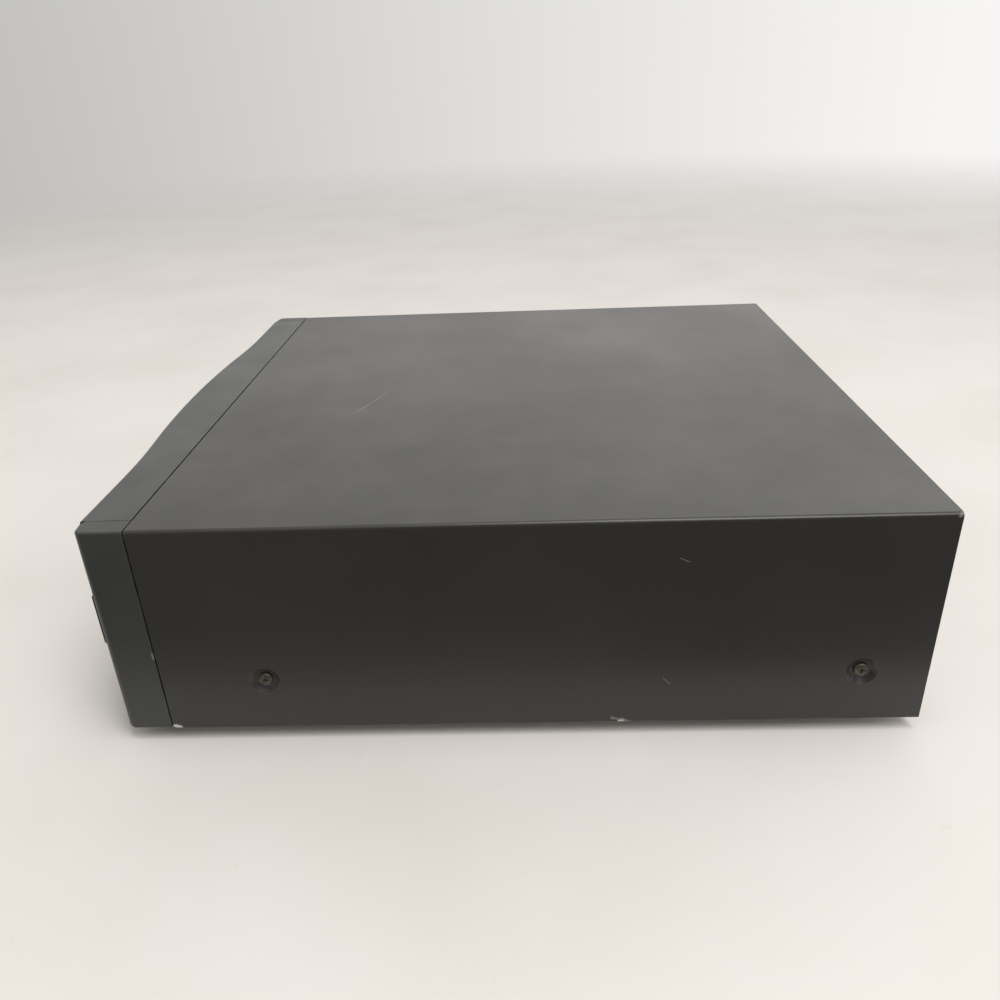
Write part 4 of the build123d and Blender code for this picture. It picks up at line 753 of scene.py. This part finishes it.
# ------------------------------------------------------------------ gears, pulleys and belt
# Acetal gears and clamp puck in natural white, oiled and slightly yellowed,
# and a moulded rubber belt round the two pulleys.
gear_plastic = finish("gear_plastic", (0.66, 0.64, 0.57), 0.38, grain=900.0, grain_depth=0.00001,
                      blotch=70.0, tone=0.08, worn=(0.74, 0.72, 0.66), wear=0.4, dust=0.08)
belt_rubber = finish("belt_rubber", (0.020, 0.020, 0.020), 0.7, grain=1500.0, grain_depth=0.00003,
                     blotch=90.0, tone=0.25, dust=0.05)
dress(gear_plastic, "carousel_gear", "drawer_gear", "belt_pulley", "motor_pulley", "sled_gear", "lift_gear",
      "clamper")
dress(belt_rubber, "loading_belt")

# ------------------------------------------------------------------ motors and pickup
# Small steel-cased motors, a pressed pickup base on a hinge, ground guide rods,
# and a die-cast sled with a small bluish lens on top.
motor_steel = finish("motor_steel", (0.50, 0.50, 0.48), 0.3, metallic=1.0, grain=700.0,
                     grain_depth=0.00001, blotch=45.0, tone=0.14, stretch=(1.0, 1.0, 8.0),
                     worn=(0.66, 0.66, 0.64), wear=0.4, dust=0.08)
rod_steel = finish("rod_steel", (0.62, 0.62, 0.61), 0.16, metallic=1.0, grain=500.0, grain_depth=0.000004,
                   blotch=80.0, tone=0.08, stretch=(1.0, 9.0, 9.0), dust=0.03)
sled_metal = finish("sled_metal", (0.34, 0.34, 0.335), 0.45, metallic=0.8, grain=1300.0,
                    grain_depth=0.00004, blotch=60.0, tone=0.18, worn=(0.5, 0.5, 0.49), wear=0.5,
                    dust=0.08)
dress(motor_steel, "carousel_motor", "loading_motor", "pickup_motors", "lift_motor")
dress(rod_steel, "guide_rods")
dress(sled_metal, "pickup_sled", "pickup_base")
dress(tray_plastic, "spindle_hub")

lens_glass, tree, shader = new_material("lens_glass")
shader.inputs["IOR"].default_value = 1.6
texture = placed(tree, surface_grain, Grain_Scale=900.0, Blotch_Scale=300.0).outputs
bluish = blend_colour(tree, texture["Blotch"], (0.03, 0.05, 0.12), (0.06, 0.10, 0.20))
tree.links.new(bluish, shader.inputs["Base Color"])
tree.links.new(spread(tree, texture["Grain"], *mottled, 0.04, 0.09), shader.inputs["Roughness"])
pickup_tilt = math.radians(11)
lens_place = (24.880 * mm, 61.0 * mm, 63.135 * mm)
lens_radius = 2.0 * mm
lens_height = 1.1 * mm
lens_sunk = 0.15 * mm
lens_corners = 32
dome_rows = 6
dome_angle = math.radians(50)
shape = bmesh.new()
rings = []
for row in range(dome_rows):
    rise = row / dome_rows * dome_angle
    height = math.sin(rise) * lens_height - lens_sunk
    outline = circle(0.0, 0.0, lens_radius * math.cos(rise), lens_corners)
    rings.append([shape.verts.new((x, y, height)) for x, y in outline])
for lower, upper in zip(rings, rings[1:]):
    for k in range(lens_corners):
        after = (k + 1) % lens_corners
        shape.faces.new((lower[k], lower[after], upper[after], upper[k]))
shape.faces.new(rings[-1])
shape.faces.new(rings[0][::-1])
set_up(shape, lens_place, Matrix.Rotation(pickup_tilt, 4, "Y"))
piece("lens", shape, "sled", lens_glass, smooth=True)

# ------------------------------------------------------------------ circuit boards
# Phenolic boards with solder-masked copper lines; capacitors, chips and a heat sink stand on them.
# The switches of the front boards are small black boxes.
circuit_board, tree, shader = new_material("circuit_board")
lines = put(tree, "ShaderNodeTexVoronoi", {"Vector": own_place(tree), "Scale": 260.0}, distance="MANHATTAN",
            feature="DISTANCE_TO_EDGE").outputs["Distance"]
copper = spread(tree, lines, 0.10, 0.06)
texture = placed(tree, surface_grain, Grain_Scale=1200.0, Blotch_Scale=40.0).outputs
mask = blend_colour(tree, texture["Blotch"], (0.020, 0.090, 0.035), (0.030, 0.125, 0.050))
traced = blend_colour(tree, copper, mask, (0.05, 0.17, 0.07))
lying = placed(tree, settled_dust, Amount=0.2)
dusty = blend_colour(tree, lying.outputs["Dust"], traced, dust_grey)
tree.links.new(dusty, shader.inputs["Base Color"])
tree.links.new(spread(tree, texture["Blotch"], *mottled, 0.28, 0.42), shader.inputs["Roughness"])
roughen(tree, shader, copper, 0.00003)


def with_parts(name, axis, board_face, side=1):
    """Copy of the board material whose mounted parts, beyond the board's face, are dark plastic."""
    material = circuit_board.copy()
    material.name = name
    tree = material.node_tree
    texture = placed(tree, surface_grain, Grain_Scale=900.0, Blotch_Scale=55.0)
    part_kinds = spread(tree, texture.outputs["Blotch"], 0.47, 0.5)
    part = blend_colour(tree, part_kinds, (0.022, 0.022, 0.026), (0.035, 0.038, 0.075))
    lay_over(material, measured(tree, axis, board_face, side), part)
    return material


main_board_top = 17.8 * mm
front_board_face = -206.1 * mm
dress(with_parts("main_board_finish", "Z", main_board_top), "main_board")
dress(with_parts("front_board_finish", "Y", front_board_face, -1), "upper_board", "lower_board")

# ------------------------------------------------------------------ transformer
# Stacked iron laminations with a taped copper winding through them, on a steel saddle.
transformer_finish = finish("transformer_iron", (0.16, 0.15, 0.14), 0.5, metallic=0.6, grain=600.0,
                            grain_depth=0.00005, blotch=40.0, tone=0.2, stretch=(0.2, 6.0, 0.2),
                            worn=(0.3, 0.29, 0.27), wear=0.5, dust=0.12)
core_middle = 182.0 * mm
winding_start = 14.1 * mm
tree = transformer_finish.node_tree
depth = put(tree, "ShaderNodeSeparateXYZ", {0: own_place(tree)}).outputs["Y"]
off_middle = work_out(tree, "ABSOLUTE", work_out(tree, "SUBTRACT", depth, core_middle))
winding = spread(tree, off_middle, winding_start - mask_blur, winding_start + mask_blur)
lay_over(transformer_finish, winding, (0.42, 0.26, 0.04))
bare_metal = spread(tree, winding, 0.0, 1.0, 0.6, 0.0)
tree.links.new(bare_metal, tree.nodes["Principled BSDF"].inputs["Metallic"])
dress(transformer_finish, "transformer")
